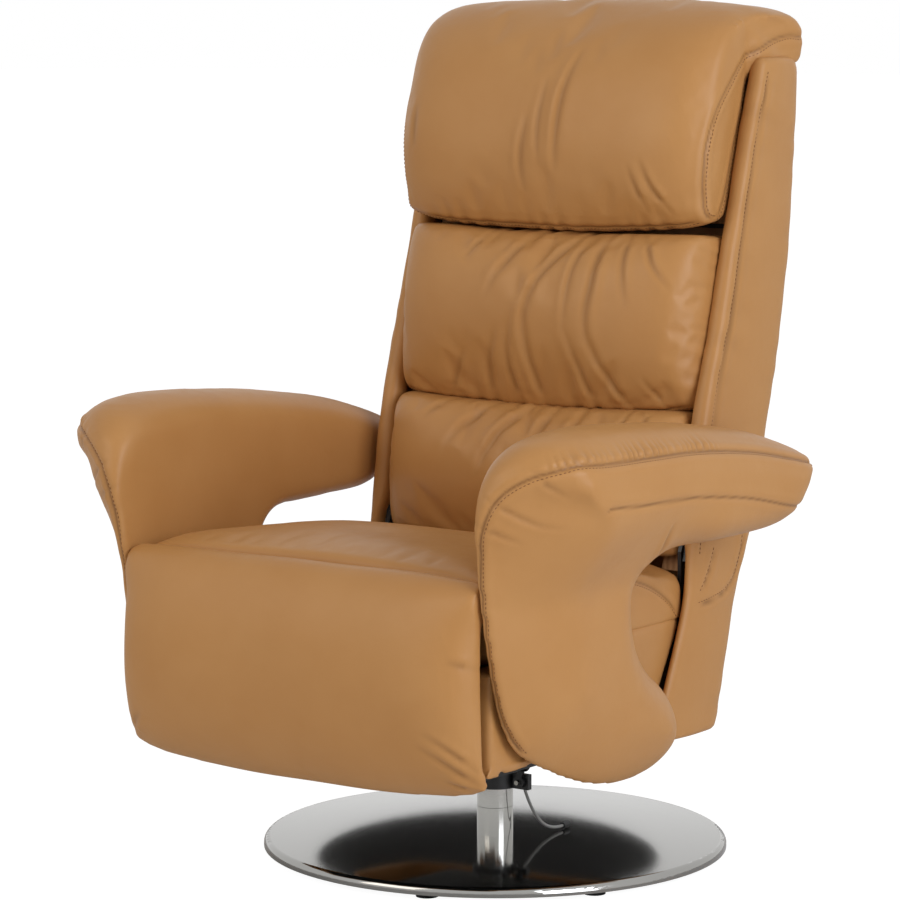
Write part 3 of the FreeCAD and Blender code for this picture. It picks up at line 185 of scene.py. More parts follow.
def spunSteel(name, colour, dish=0.0):
    # stainless sheet, spun and polished on a lathe: a mirror with faint turning rings, dished a little
    material, tree, shader = newMaterial(name)
    shader.inputs["Metallic"].default_value = 1.0
    where = addNode(tree, "ShaderNodeTexCoord").outputs["Object"]
    centred = addNode(tree, "ShaderNodeMapping", {"Vector": where, "Location": (0, -axleY, 0)})
    lathe = {"Vector": centred.outputs[0], "Scale": 260.0, "Distortion": 1.2, "Detail": 2.0}
    wave = addNode(tree, "ShaderNodeTexWave", lathe, wave_type="RINGS", rings_direction="Z")
    rings = wave.outputs["Fac"]
    shader.inputs["Base Color"].default_value = paint(colour)
    tree.links.new(between(tree, rings, 0.06, 0.13), shader.inputs["Roughness"])
    below = None
    if dish:
        radial = {0: centred.outputs[0], 1: (dish, dish, 0)}
        lean = addNode(tree, "ShaderNodeVectorMath", radial, operation="MULTIPLY").outputs[0]
        face = addNode(tree, "ShaderNodeNewGeometry").outputs["Normal"]
        tilted = addNode(tree, "ShaderNodeVectorMath", {0: face, 1: lean}, operation="ADD")
        unit = addNode(tree, "ShaderNodeVectorMath", {0: tilted.outputs[0]}, operation="NORMALIZE")
        below = unit.outputs[0]
    tree.links.new(bumped(tree, rings, 0.02, 0.0002, below), shader.inputs["Normal"])
    return material


caramelLeather = smoothLeather("aniline leather", hide)
discSteel = spunSteel("spun polished stainless", "#9C9B98", dish=0.34)
polishedSteel = spunSteel("polished stainless tube", "#C4C3BF")
# zinc plated mild steel, dull grey with a faint yellow cast
zincSteel = plainFinish("zinc plated steel", "#A3A29B", 0.35, metallic=1.0, scale=6)
# powder coat on pressed steel, satin black with a fine orange peel
powderCoat = plainFinish("black powder coat", "#1B1B1C", 0.42, bump=0.25, scale=1.5)
castIron = plainFinish("sand cast iron", "#2A2A2A", 0.75, metallic=0.3, bump=0.6, scale=3)
# moulded nylon, matte with a spark eroded texture
blackNylon = plainFinish("moulded nylon", "#161616", 0.55, bump=0.3, scale=1.2)
glossyKnob = plainFinish("glossy ABS", "#0D0D0D", 0.16, scale=20)
softRubber = plainFinish("moulded rubber", "#141414", 0.8, bump=0.3, scale=2)
greySleeving = plainFinish("grey PVC sleeving", "#8B8A86", 0.4, scale=8)
threadFinish = plainFinish("bonded polyester thread", "#75491F", 0.6, bump=0.4, scale=0.8)
webbingFinish = plainFinish("woven elastic webbing", "#1E1D1C", 0.85, bump=0.6, scale=1.5)
blackCloth = plainFinish("non-woven dust cover", "#121212", 0.9, bump=0.5, scale=1.5)
brownCloth = plainFinish("brown cotton lining", "#7A5230", 0.85, bump=0.5, scale=1.2)


def timber(name, colour, dark, layer):
    # raw wood or plywood edge: pale with darker lines a layer apart
    material, tree, shader = newMaterial(name)
    where = addNode(tree, "ShaderNodeTexCoord").outputs["Object"]
    lines = {"Vector": where, "Scale": 1000 / layer / 6.28, "Distortion": 3.0, "Detail": 3.0}
    grain = addNode(tree, "ShaderNodeTexWave", lines | {"Detail Scale": 2.0}, bands_direction="X")
    tone = mixColour(tree, grain.outputs["Fac"], paint(colour), paint(dark))
    tree.links.new(tone, shader.inputs["Base Color"])
    shader.inputs["Roughness"].default_value = 0.65
    return material


birchPly = timber("birch plywood", "#C9A877", "#A98655", 2.4)
rawBeech = timber("raw beech", "#C08F5E", "#A87546", 4.0)

nodeFinish = {
    discSteel: ["base_disc"],
    polishedSteel: ["column_tube", "swivel_sleeve"],
    zincSteel: [
        "spindle", "flange_screws", "thrust_washer", "collar_bolt", "leg_rest_rod", "lift_tube",
        "lift_rod", "recline_pins", "head_hinge_pins",
    ],
    powderCoat: [
        "column_collar", "seat_carrier", "seat_crossbars", "seat_rail_left", "seat_rail_right",
        "recline_bracket_left", "recline_bracket_right", "leg_rest_lugs", "leg_rest_arms",
        "back_hinge_plate_left", "back_hinge_plate_right", "head_hinge_brackets", "head_hinge_arms",
        "lift_plate", "brake_lever",
    ],
    castIron: ["ballast_plate"],
    blackNylon: ["swivel_bushes", "lift_motor", "lead_plug"],
    glossyKnob: ["lever_grip"],
    softRubber: ["floor_glides"],
    webbingFinish: ["seat_webbing", "back_webbing"],
    birchPly: [
        "side_board_left", "side_board_right", "front_board", "rear_board", "arm_mounts",
        "leg_rest_board", "headrest_board", "hinge_blocks",
    ],
    rawBeech: ["back_upright_left", "back_upright_right", "back_stretchers"],
}
for finish, names in nodeFinish.items():
    for name in names:
        nodes[name].data.materials.clear()
        nodes[name].data.materials.append(finish)
print("materials done")


# mesh helpers


def millimetres(co):
    # half of the chair only: x without its sign, y from the column's axis
    return np.abs(co[:, 0]) * 1000, (co[:, 1] - axleY) * 1000, co[:, 2] * 1000


def gate(value, start, span):
    # 0 up to start, 1 after span more
    return np.clip((value - start) / span, 0, 1)


def ramp(value, low, high):
    t = np.clip((value - low) / (high - low), 0, 1)
    return t * t * (3 - 2 * t)


def smoothLoop(points, count, closed=True):
    # Catmull-Rom through the points, then spaced evenly
    pts = np.array(points, float)
    n = len(pts)
    fine = []
    last = n if closed else n - 1
    for i in range(last):
        if closed:
            a, b, c, d = pts[i - 1], pts[i], pts[(i + 1) % n], pts[(i + 2) % n]
        else:
            a, b, c, d = pts[max(i - 1, 0)], pts[i], pts[i + 1], pts[min(i + 2, n - 1)]
        for t in np.linspace(0, 1, 16, endpoint=False):
            square = 2 * a - 5 * b + 4 * c - d
            cube = 3 * b - a - 3 * c + d
            fine.append(0.5 * (2 * b + (c - a) * t + square * t**2 + cube * t**3))
    fine.append(fine[0] if closed else pts[-1])
    fine = np.array(fine)
    length = np.concatenate([[0], np.cumsum(np.linalg.norm(np.diff(fine, axis=0), axis=1))])
    wanted = np.linspace(0, length[-1], count + 1 if closed else count)
    if closed:
        wanted = wanted[:-1]
    return np.stack([np.interp(wanted, length, fine[:, k]) for k in range(fine.shape[1])], 1)


def insetLoop(loop, distance):
    ahead = np.roll(loop, -1, 0) - np.roll(loop, 1, 0)
    ahead /= np.linalg.norm(ahead, axis=1)[:, None]
    inward = np.stack([-ahead[:, 1], ahead[:, 0]], 1)
    area = np.sum(loop[:, 0] * np.roll(loop[:, 1], -1) - np.roll(loop[:, 0], -1) * loop[:, 1])
    return loop + inward * distance * np.sign(area)


def sideLine(x, line):
    return [(x, y, z) for y, z in line]


def widths(half, count=41):
    # places from one side to the other, closer together towards both
    return half * np.sin(np.linspace(-np.pi / 2, np.pi / 2, count))


def loftWalls(bm, rings):
    made = [[bm.verts.new(place(*p)) for p in ring] for ring in rings]
    count = len(made[0])
    for a, b in zip(made, made[1:]):
        for i in range(count):
            j = (i + 1) % count
            bm.faces.new((a[i], a[j], b[j], b[i]))
    return made[0], made[-1]


def loftRings(bm, rings):
    first, last = loftWalls(bm, rings)
    bm.faces.new(list(reversed(first)))
    bm.faces.new(last)


def meshFrom(name, builder):
    bm = bmesh.new()
    builder(bm)
    bmesh.ops.recalc_face_normals(bm, faces=bm.faces)
    mesh = bpy.data.meshes.new(name)
    bm.to_mesh(mesh)
    bm.free()
    piece = bpy.data.objects.new(name, mesh)
    scene.collection.objects.link(piece)
    return piece


def bake(piece):
    depsgraph = bpy.context.evaluated_depsgraph_get()
    mesh = bpy.data.meshes.new_from_object(piece.evaluated_get(depsgraph))
    mesh.name = piece.name
    piece.modifiers.clear()
    piece.data = mesh
    return piece


def skin(piece, cell, rounds):
    # one closed skin over everything in the mesh, then softened
    remesh = piece.modifiers.new("skin", "REMESH")
    remesh.mode = "VOXEL"
    remesh.voxel_size = cell / 1000
    remesh.adaptivity = 0
    soft = piece.modifiers.new("soft", "SMOOTH")
    soft.factor = 0.5
    soft.iterations = rounds
    return bake(piece)


def points(piece):
    co = np.empty(len(piece.data.vertices) * 3, np.float32)
    piece.data.vertices.foreach_get("co", co)
    return co.reshape(-1, 3).astype(float)


def setPoints(piece, co):
    piece.data.vertices.foreach_set("co", co.astype(np.float32).ravel())
    piece.data.update()


def outward(piece):
    no = np.empty(len(piece.data.vertices) * 3, np.float32)
    piece.data.vertex_normals.foreach_get("vector", no)
    return no.reshape(-1, 3).astype(float)


clothFrames = 20
cushionCell = 6  # mm


def inflate(piece, look, held):
    # pressure in a cloth skin; held says which points stay, and the cap how far the rest may go
    start = points(piece)
    group = piece.vertex_groups.new(name="held")
    keep = held(start)
    for index in np.nonzero(keep > 0.01)[0]:
        group.add([int(index)], float(keep[index]), "REPLACE")
    cloth = piece.modifiers.new("cloth", "CLOTH")
    cloth.settings.quality = 5
    cloth.settings.mass = 0.3
    cloth.settings.tension_stiffness = look["stiff"]
    cloth.settings.compression_stiffness = look["stiff"]
    cloth.settings.shear_stiffness = look["stiff"] * 0.6
    cloth.settings.bending_stiffness = look["bend"]
    cloth.settings.use_pressure = True
    cloth.settings.uniform_pressure_force = look["pressure"]
    cloth.settings.shrink_min = -look["slack"]
    cloth.settings.vertex_group_mass = "held"
    cloth.settings.effector_weights.gravity = 0
    cloth.collision_settings.use_collision = False
    cloth.collision_settings.use_self_collision = False
    cloth.point_cache.frame_end = clothFrames
    for number in range(1, clothFrames + 1):
        scene.frame_set(number)
    bake(piece)
    piece.vertex_groups.clear()
    moved = points(piece) - start
    reach = np.linalg.norm(moved, axis=1)
    cap = look["cap"] / 1000
    scale = np.where(reach > cap, cap / np.maximum(reach, 1e-9), 1)
    setPoints(piece, start + moved * scale[:, None])
    scene.frame_set(1)


def refine(piece):
    finer = piece.modifiers.new("finer", "SUBSURF")
    finer.levels = finer.render_levels = 1
    return bake(piece)


def pathOn(piece, route, step=3.0, closed=False):
    # a smooth line through the route, dropped onto the skin
    tree = BVHTree.FromObject(piece, bpy.context.evaluated_depsgraph_get())
    total = np.sum(np.linalg.norm(np.diff(np.array(route, float), axis=0), axis=1))
    line = smoothLoop(route, max(8, int(total / step)), closed)
    spots = []
    normals = []
    for p in line:
        spot, normal, _, _ = tree.find_nearest(place(*p))
        spots.append(spot)
        normals.append(normal)
    spots = np.array(spots)
    normals = np.array(normals)
    for _ in range(3):
        normals[1:-1] = (normals[:-2] + normals[1:-1] * 2 + normals[2:]) / 4
    normals /= np.linalg.norm(normals, axis=1)[:, None]
    return spots, normals


def nearPath(co, spots, reach):
    # distance to the path and how far along it, for the points within reach
    low = spots.min(0) - reach
    high = spots.max(0) + reach
    index = np.nonzero(np.all((co > low) & (co < high), axis=1))[0]
    steps = np.linalg.norm(np.diff(spots, axis=0), axis=1)
    along = np.concatenate([[0], np.cumsum(steps)])
    distance = np.full(len(index), 9.0)
    travel = np.zeros(len(index))
    segment = np.zeros(len(index), int)
    for i in range(len(spots) - 1):
        a = spots[i]
        d = spots[i + 1] - a
        size = max(float(d @ d), 1e-12)
        t = np.clip(((co[index] - a) @ d) / size, 0, 1)
        away = np.linalg.norm(co[index] - (a + t[:, None] * d), axis=1)
        closer = away < distance
        distance[closer] = away[closer]
        travel[closer] = along[i] + t[closer] * steps[i]
        segment[closer] = i
    use = distance < reach
    return index[use], distance[use], travel[use], segment[use], along[-1]


# a point attribute holding the painted shade of seam, fold and gather valleys
def shadeLayer(piece):
    layer = piece.data.attributes.get("paintedShade")
    if layer is None:
        layer = piece.data.attributes.new("paintedShade", "FLOAT", "POINT")
    return layer


def addShade(piece, index, amount):
    layer = shadeLayer(piece)
    values = np.empty(len(piece.data.vertices), np.float32)
    layer.data.foreach_get("value", values)
    values[index] = np.maximum(values[index], amount)
    layer.data.foreach_set("value", values)


seamLook = {"depth": 1.8, "width": 2.2, "swell": 1.0, "swellAt": 9.0, "shade": 0.5}
armSeam = {"depth": 2.2, "width": 2.2, "swell": 1.2, "swellAt": 9.0, "shade": 0.6}
plainSeam = {"depth": 1.6, "width": 2.0, "swell": 0.7, "swellAt": 8.0, "shade": 0.6}


def seam(piece, route, look=seamLook, gathers=0.0, spacing=17.0, reach=34.0, span=(0, 1), side=0):
    # a sewn line: a valley with swollen lips, and gathers across it where the hide is eased in
    spots, normals = pathOn(piece, route)
    co = points(piece)
    no = outward(piece)
    index, distance, travel, segment, length = nearPath(co, spots, 0.06)
    mm = distance * 1000
    s = travel * 1000
    ends = np.clip(np.minimum(s, length * 1000 - s) / 12, 0, 1)
    move = -look["depth"] * np.exp(-((mm / look["width"]) ** 2)) * ends
    move += look["swell"] * np.exp(-(((mm - look["swellAt"]) / 5) ** 2)) * ends
    if gathers:
        phase = rng.uniform(0, 6)
        wave = np.sin(2 * np.pi * s / spacing + phase + 1.6 * np.sin(s / spacing * 1.3 + phase))
        wave = np.abs(wave) ** 0.6 * np.sign(wave) * (0.65 + 0.35 * np.sin(s / 23 + phase))
        share = travel / length
        part = ramp(share, span[0] - 0.04, span[0] + 0.04) * ramp(-share, -span[1] - 0.04, -span[1] + 0.04)
        if side:
            across = np.cross(spots[segment + 1] - spots[segment], normals[segment])
            part = part * ((np.sum((co[index] - spots[segment]) * across, 1) * side) > 0)
        fade = np.exp(-((mm / reach) ** 2)) * np.clip(mm / 4, 0, 1)
        move += gathers * wave * fade * ends * part
        # painted shade in the valleys of the gathers
        addShade(piece, index, 0.35 * fade * part * ends * np.clip(-wave, 0, 1) * min(gathers / 2, 1))
    co[index] += no[index] * (move / 1000)[:, None]
    setPoints(piece, co)
    # painted shade along the seam's valley
    addShade(piece, index, look["shade"] * np.exp(-((mm / (look["width"] * 0.8)) ** 2)) * ends)
    return spots, normals


def pull(depth, width, *route, turn=1, middle=False):
    # one pulled crease, deepest where it starts or in its middle; depth and width in mm
    return {"route": route, "depth": depth, "width": width, "turn": turn, "middle": middle}


def folds(piece, lines):
    # each crease is a sharp valley with a soft ridge on the side that turn gives
    for line in lines:
        spots, normals = pathOn(piece, line["route"], step=5.0)
        co = points(piece)
        no = outward(piece)
        width = line["width"]
        index, distance, travel, segment, length = nearPath(co, spots, width * 4 / 1000)
        across = np.cross(spots[segment + 1] - spots[segment], normals[segment])
        across /= np.maximum(np.linalg.norm(across, axis=1), 1e-9)[:, None]
        offset = np.sum((co[index] - spots[segment]) * across, 1) * 1000 * line["turn"]
        share = travel / length
        if line["middle"]:
            taper = np.sin(np.pi * np.clip(share, 0, 1)) ** 0.8
        else:
            taper = np.cos(share * np.pi / 2) ** 1.2 * np.clip(share * 8 + 0.3, 0, 1)
        valley = -np.exp(-((offset / (width * 0.6)) ** 2))
        ridge = 0.75 * np.exp(-(((offset - 1.15 * width) / (width * 0.9)) ** 2))
        ridge += 0.2 * np.exp(-(((offset + 1.5 * width) / (width * 1.1)) ** 2))
        near = np.clip((width * 4 - distance * 1000) / width, 0, 1)
        co[index] += no[index] * (line["depth"] * (valley + ridge) * taper * near / 1000)[:, None]
        setPoints(piece, co)
        # painted shade along each crease's valley
        addShade(piece, index, 0.3 * np.exp(-((offset / width * 1.8) ** 2)) * taper * near)


def softNoise(piece, height, cell, seed):
    # slow unevenness of foam under the hide
    co = points(piece)
    no = outward(piece)
    local = np.random.default_rng(seed)
    total = np.zeros(len(co))
    for _ in range(7):
        direction = local.normal(size=3)
        direction /= np.linalg.norm(direction)
        length = cell * local.uniform(0.7, 1.5) / 1000
        total += np.sin(co @ direction * 2 * np.pi / length + local.uniform(0, 6))
    co += no * (height / 1000 * total / 2.6)[:, None]
    setPoints(piece, co)


def plump(piece, look, rounds, held, *uneven):
    # one skin, pressure, a finer mesh and the foam's slow unevenness: height, cell and seed
    skin(piece, cushionCell, rounds)
    inflate(piece, look["cloth"], held)
    refine(piece)
    softNoise(piece, *uneven)
    return piece


def dress(piece, body, replaced):
    shadeLayer(piece)
    piece.data.materials.clear()
    piece.data.materials.append(caramelLeather)
    piece.data.shade_smooth()
    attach(piece, body)
    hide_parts(replaced)
    print(piece.name, len(piece.data.polygons), "faces")


# low voltage lead, first of the pieces because its solid fixes its route

lead = {
    "route": [(47, 0, 82.8), (52, 8, 54), (60, 36, 24.6), (59, 69, 24.6)],
    "across": 4,
    "length": 102,
}


def makeLead():
    curve = bpy.data.curves.new("powerLead", "CURVE")
    curve.dimensions = "3D"
    curve.bevel_depth = lead["across"] / 2000
    curve.bevel_resolution = 3
    curve.use_fill_caps = True
    spline = curve.splines.new("NURBS")
    spline.points.add(len(lead["route"]) - 1)
    for point, spot in zip(spline.points, places(lead["route"])):
        point.co = (*spot, 1)
    spline.order_u = 3
    spline.use_endpoint_u = True
    spline.resolution_u = 16
    piece = bpy.data.objects.new("powerLead", curve)
    scene.collection.objects.link(piece)
    curve.materials.append(greySleeving)
    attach(piece, "seat")
    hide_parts("lead")


makeLead()
print("lead done")

# back cushions and headrest share one way of being made


def pillowRings(loop, half, rear, roundness, flatten, count=33, edge=10):
    # loop is the side outline at the middle; towards the ends its front falls back to the rear line
    rings = []
    for x in widths(half, count):
        share = min(abs(x) / half, 1)
        depth = max((1 - share**roundness) ** (1 / roundness), flatten)
        shrink = edge * (1 - (1 - share ** (roundness * 1.5)) ** (1 / 3)) if share < 1 else edge
        ring = insetLoop(loop, shrink)
        back = rear(ring[:, 1])
        ring[:, 0] = back - (back - ring[:, 0]) * depth
        rings.append(sideLine(x, ring))
    return rings


leanSlope = 0.26


def leanLine(z):
    return 95 + leanSlope * (z - 372)


headrest = {
    "outline": [
        (90, 868), (94, 842), (106, 820), (124, 808), (150, 804), (180, 812), (199, 836), (206, 870),
        (217, 904), (230, 950), (243, 1000), (254, 1010), (290, 1010), (322, 1010), (334, 1016),
        (338, 1040), (334, 1066), (316, 1084), (284, 1090), (232, 1091), (188, 1083), (147, 1058),
        (118, 1014), (100, 960), (90, 910),
    ],
    "half": 240,
    "cap": 256,
    "cloth": {"pressure": 4.0, "stiff": 14, "bend": 8.0, "slack": 0.004, "cap": 22},
}


def makeHeadrest():
    loop = smoothLoop(headrest["outline"], 120)
    rings = []
    half = headrest["half"]
    for x in widths(half):
        share = abs(x) / half
        ring = insetLoop(loop, 1 + 7 * share**14)
        front = np.clip((225 - ring[:, 0]) / 110, 0, 1) * np.clip((ring[:, 1] - 800) / 40, 0, 1)
        ring[:, 0] += 30 * share**7 * front
        ring[:, 1] -= 12 * share**5 * np.clip((ring[:, 1] - 1020) / 60, 0, 1)
        sag = 13 * (1 - share**2) * np.clip((830 - ring[:, 1]) / 25, 0, 1) * (ring[:, 0] < 150)
        ring[:, 1] -= sag - 3
        under = ramp(ring[:, 0], 232, 252) * ramp(-ring[:, 1], -1030, -1016)
        ring[:, 1] -= under * (7 * share**14 + 1.5)
        # the cap over the shell is wider than the cushion, whose rear fits between the shell's lips
        cap = ramp(ring[:, 1], 1002, 1010) * ramp(ring[:, 0], 215, 262)
        tuck = ramp(ring[:, 0] - leanLine(ring[:, 1]), -112, -26) * (1 - ramp(ring[:, 1], 990, 1006))
        wider = 1 + (headrest["cap"] / half - 1) * cap - 0.046 * tuck
        rings.append([(x * w, y, z) for (y, z), w in zip(ring, wider)])
    piece = meshFrom("headrestCushion", lambda bm: loftRings(bm, rings))

    def held(co):
        x, y, z = millimetres(co)
        rear = gate(y - leanLine(z), -24, 10)
        under = gate(-z, -1022, 8) * gate(y, 236, 6)
        low = gate(-z, -822, 8)
        side = gate(x, 226, 5)
        return np.clip(rear + under + low + side, 0, 1)

    plump(piece, headrest, 3, held, 0.9, 150, 3)
    gusset = [
        (150, 812), (126, 816), (114, 832), (112, 866), (120, 912), (143, 954), (180, 994), (214, 1021),
        (250, 1038), (292, 1048), (332, 1046),
    ]
    paths = []
    rear = [(160, 816), (180, 850), (196, 900), (215, 950), (232, 1000)]
    for side in (1, -1):
        paths.append(seam(piece, sideLine(side * 246, gusset)))
        paths.append(seam(piece, sideLine(side * 244, rear)))
    bottom = [(x, 124, 806) for x in (-222, -150, -60, 60, 150, 222)]
    paths.append(seam(piece, bottom, gathers=0.9, spacing=31, reach=24))
    folds(piece, [
        pull(2.4, 8, (52, 110, 1050), (34, 84, 980), (28, 80, 870), middle=True),
        pull(1.8, 8, (-16, 90, 950), (-24, 84, 890), (-22, 82, 840), middle=True),
        pull(1.2, 7, (8, 96, 1000), (2, 84, 940), (4, 80, 880), middle=True),
        pull(2.4, 6, (186, 94, 836), (170, 82, 862), (154, 80, 900)),
        pull(2.0, 6, (156, 92, 840), (146, 82, 866), (138, 80, 890)),
        pull(1.2, 8, (-206, 104, 960), (-204, 96, 900), middle=True),
    ])
    dress(piece, "head", "headrest_cushion")
    return paths


middle = {
    "outline": [
        (92, 586), (80, 610), (74, 650), (73, 700), (79, 748), (91, 784), (108, 801), (130, 802),
        (160, 800), (196, 798), (201, 785), (190, 740), (176, 690), (162, 640), (150, 592), (143, 576),
        (112, 574),
    ],
    "half": 233,
    "sag": (9, 8),
    "cloth": {"pressure": 4.0, "stiff": 12, "bend": 4.0, "slack": 0.012, "cap": 22},
}
lumbar = {
    "outline": [
        (60, 404), (52, 440), (49, 490), (54, 530), (62, 560), (84, 577), (124, 578), (145, 574),
        (144, 558), (130, 500), (116, 450), (104, 404), (94, 392), (74, 390),
    ],
    "half": 227,
    "sag": (0, 8),
    "cloth": {"pressure": 4.0, "stiff": 12, "bend": 4.0, "slack": 0.012, "cap": 22},
}


def makeBackCushion(name, look, roundness, flatten, *uneven):
    loop = smoothLoop(look["outline"], 110)
    rings = pillowRings(loop, look["half"], lambda z: leanLine(z) - 3, roundness, flatten)
    low, high = [f(p[1] for p in look["outline"]) for f in (min, max)]
    centre = (low + high) / 2
    for ring in rings:
        for i, (x, y, z) in enumerate(ring):
            hang = look["sag"][0] * ramp(-z, -centre, -low) + look["sag"][1] * ramp(z, centre, high)
            ring[i] = (x, y, z - hang * (1 - (x / look["half"]) ** 2))
    piece = meshFrom(name, lambda bm: loftRings(bm, rings))

    def held(co):
        x, y, z = millimetres(co)
        rear = gate(y - leanLine(z), -14, 8)
        ends = gate(np.abs(z - centre), (high - low) / 2 - 9, 6)
        side = gate(x, look["half"] - 4, 3)
        return np.clip(rear + ends + side, 0, 1)

    return plump(piece, look, 3, held, *uneven)


def makeMiddleCushion():
    piece = makeBackCushion("middleCushion", middle, 5.0, 0.5, 0.8, 140, 5)
    paths = []
    boxing = [(131, 584), (128, 610), (140, 650), (150, 700), (160, 750), (172, 785)]
    for side in (1, -1):
        paths.append(seam(piece, sideLine(side * 230, boxing), gathers=0.5, spacing=19))
    low = [(x, 108, 577) for x in (-225, -150, -50, 50, 150, 225)]
    paths.append(seam(piece, low, gathers=1.0, spacing=37, reach=40))
    folds(piece, [
        pull(3.6, 9, (51, 90, 794), (20, 74, 745), (-2, 70, 690), (0, 70, 620), (6, 80, 590)),
        pull(3.6, 9, (102, 90, 794), (98, 74, 740), (92, 70, 680), (112, 72, 620), turn=-1),
        pull(2.6, 7, (74, 90, 794), (64, 74, 740), (58, 70, 660)),
        pull(2.6, 6, (166, 92, 794), (182, 78, 762), (214, 78, 728), turn=-1),
        pull(2.2, 7, (136, 92, 794), (140, 76, 750), (150, 72, 700), turn=-1),
        pull(2.7, 9, (-20, 90, 794), (-46, 74, 750), (-70, 70, 700)),
        pull(1.9, 7, (-90, 92, 794), (-110, 76, 760)),
        pull(3.2, 8, (12, 88, 584), (4, 72, 640), (2, 70, 700), turn=-1),
        pull(2.9, 8, (-24, 88, 584), (-30, 74, 640), (-22, 70, 690)),
        pull(3.0, 9, (-66, 88, 584), (-60, 74, 630), (-44, 70, 680)),
        pull(2.2, 8, (-130, 90, 586), (-112, 76, 620), (-96, 72, 650)),
        pull(3.0, 8, (90, 88, 584), (78, 74, 630), (60, 70, 680), turn=-1),
        pull(3.2, 8, (140, 90, 586), (112, 74, 630), (96, 72, 670), turn=-1),
        pull(1.9, 6, (190, 92, 588), (168, 78, 620), turn=-1),
    ])
    dress(piece, "back", "middle_cushion")
    return paths


def makeLumbarCushion():
    piece = makeBackCushion("lumbarCushion", lumbar, 6.0, 0.72, 0.8, 130, 6)
    folds(piece, [
        pull(4.3, 9, (-6, 66, 572), (-34, 52, 535), (-64, 48, 470)),
        pull(4.3, 10, (34, 66, 572), (22, 52, 520), (2, 48, 440)),
        pull(3.7, 9, (78, 66, 572), (76, 52, 520), (66, 48, 440)),
        pull(3.8, 6, (150, 66, 572), (146, 52, 540), (144, 50, 500), turn=-1),
        pull(2.9, 6, (178, 68, 572), (190, 56, 546), turn=-1),
        pull(3.0, 9, (-70, 68, 572), (-96, 54, 540), (-120, 50, 500)),
        pull(1.9, 8, (-140, 70, 572), (-160, 58, 545)),
    ])
    dress(piece, "back", "lumbar_cushion")


# seat cushion: sections across the chair, lofted from front to rear

seat = {
    "stations": [  # y, half width, low, top at the middle
        (-391, 250, 424, 428), (-388, 257, 419, 436), (-376, 260, 400, 441), (-366, 261, 330, 443),
        (-340, 262, 316, 444), (-260, 262, 316, 440), (-170, 262, 316, 432), (-110, 261, 316, 424),
        (-84, 246, 316, 420), (-40, 241, 316, 409), (10, 241, 316, 398), (45, 240, 316, 394),
        (66, 240, 317, 388), (75, 238, 320, 374),
    ],
    "drop": 34,
    "cloth": {"pressure": 3.0, "stiff": 14, "bend": 8.0, "slack": 0.004, "cap": 14},
}


def seatRing(y, half, low, top, drop):
    ring = []
    count = 40
    edge = min(drop - 18 * ramp(y, -110, -60), (top - low) * 0.55)
    for t in np.linspace(0, 1, count):
        x = half * math.cos(math.pi * t)
        share = abs(x) / half
        crown = top - 9 * share**2 - edge * max(0.0, 1 - (1 - share**9) ** (1 / 2.6))
        ring.append((x, y, crown))
    for t in np.linspace(0, 1, 16):
        ring.append((half * (2 * t - 1), y, low))
    return ring


def makeSeat():
    rings = [seatRing(*station, seat["drop"]) for station in seat["stations"]]
    piece = meshFrom("seatCushion", lambda bm: loftRings(bm, rings))

    def held(co):
        x, y, z = millimetres(co)
        under = gate(-z, -345, 10)
        front = gate(-y, 378, 6)
        rear = gate(y, 60, 6)
        side = gate(x, 236, 3)
        return np.clip(under + front + rear + side, 0, 1)

    plump(piece, seat, 4, held, 0.9, 170, 8)
    paths = []
    for side in (1, -1):
        line = [(243, -84, 386), (241, -40, 378), (241, 0, 364), (240, 36, 344), (240, 56, 326)]
        line = [(side * x, y, z) for x, y, z in line]
        paths.append(seam(piece, line))
    dress(piece, "seat", "seat_cushion")
    return paths


def slabRings(loop, xs, insets):
    return [sideLine(x, insetLoop(loop, inset)) for x, inset in zip(xs, insets)]


sideCover = {
    "outline": [
        (-383, 200), (-383, 306), (-378, 316), (-200, 319), (0, 321), (52, 320), (62, 306), (30, 250),
        (2, 202), (-8, 195), (-200, 194), (-376, 194),
    ],
}


def makeSideCovers():
    loop = smoothLoop(sideCover["outline"], 120)
    for side, name in ((1, "Left"), (-1, "Right")):
        xs = [229, 233, 252, 259, 261]
        rings = slabRings(loop, [side * x for x in xs], [1.5, 0.3, 0.3, 2, 6])
        for ring in rings:
            for i, (x, y, z) in enumerate(ring):
                # behind the armrest the seat box is narrower, between the shell's walls
                narrow = np.clip((y + 100) / 12, 0, 1)
                if abs(x) > 240:
                    ring[i] = (side * (abs(x) - (abs(x) - 238) * narrow * 0.95), y, z)
        piece = meshFrom("sideCover" + name, lambda bm: loftRings(bm, rings))
        skin(piece, 4, 1)
        dress(piece, "seat", "side_cover_left" if side > 0 else "side_cover_right")


# leg rest: side outline swept across, its ends drawn back

legRest = {
    "outline": [
        (-397, 431), (-414, 428), (-435, 408), (-449, 370), (-456, 325), (-456, 280), (-448, 235),
        (-434, 196), (-414, 168), (-394, 157), (-386, 166), (-388, 186), (-398, 205), (-400, 240),
        (-400, 300), (-400, 360), (-386, 376), (-378, 392), (-380, 410), (-387, 425),
    ],
    "half": 265,
    "cloth": {"pressure": 3.5, "stiff": 14, "bend": 10.0, "slack": 0.0, "cap": 14},
}


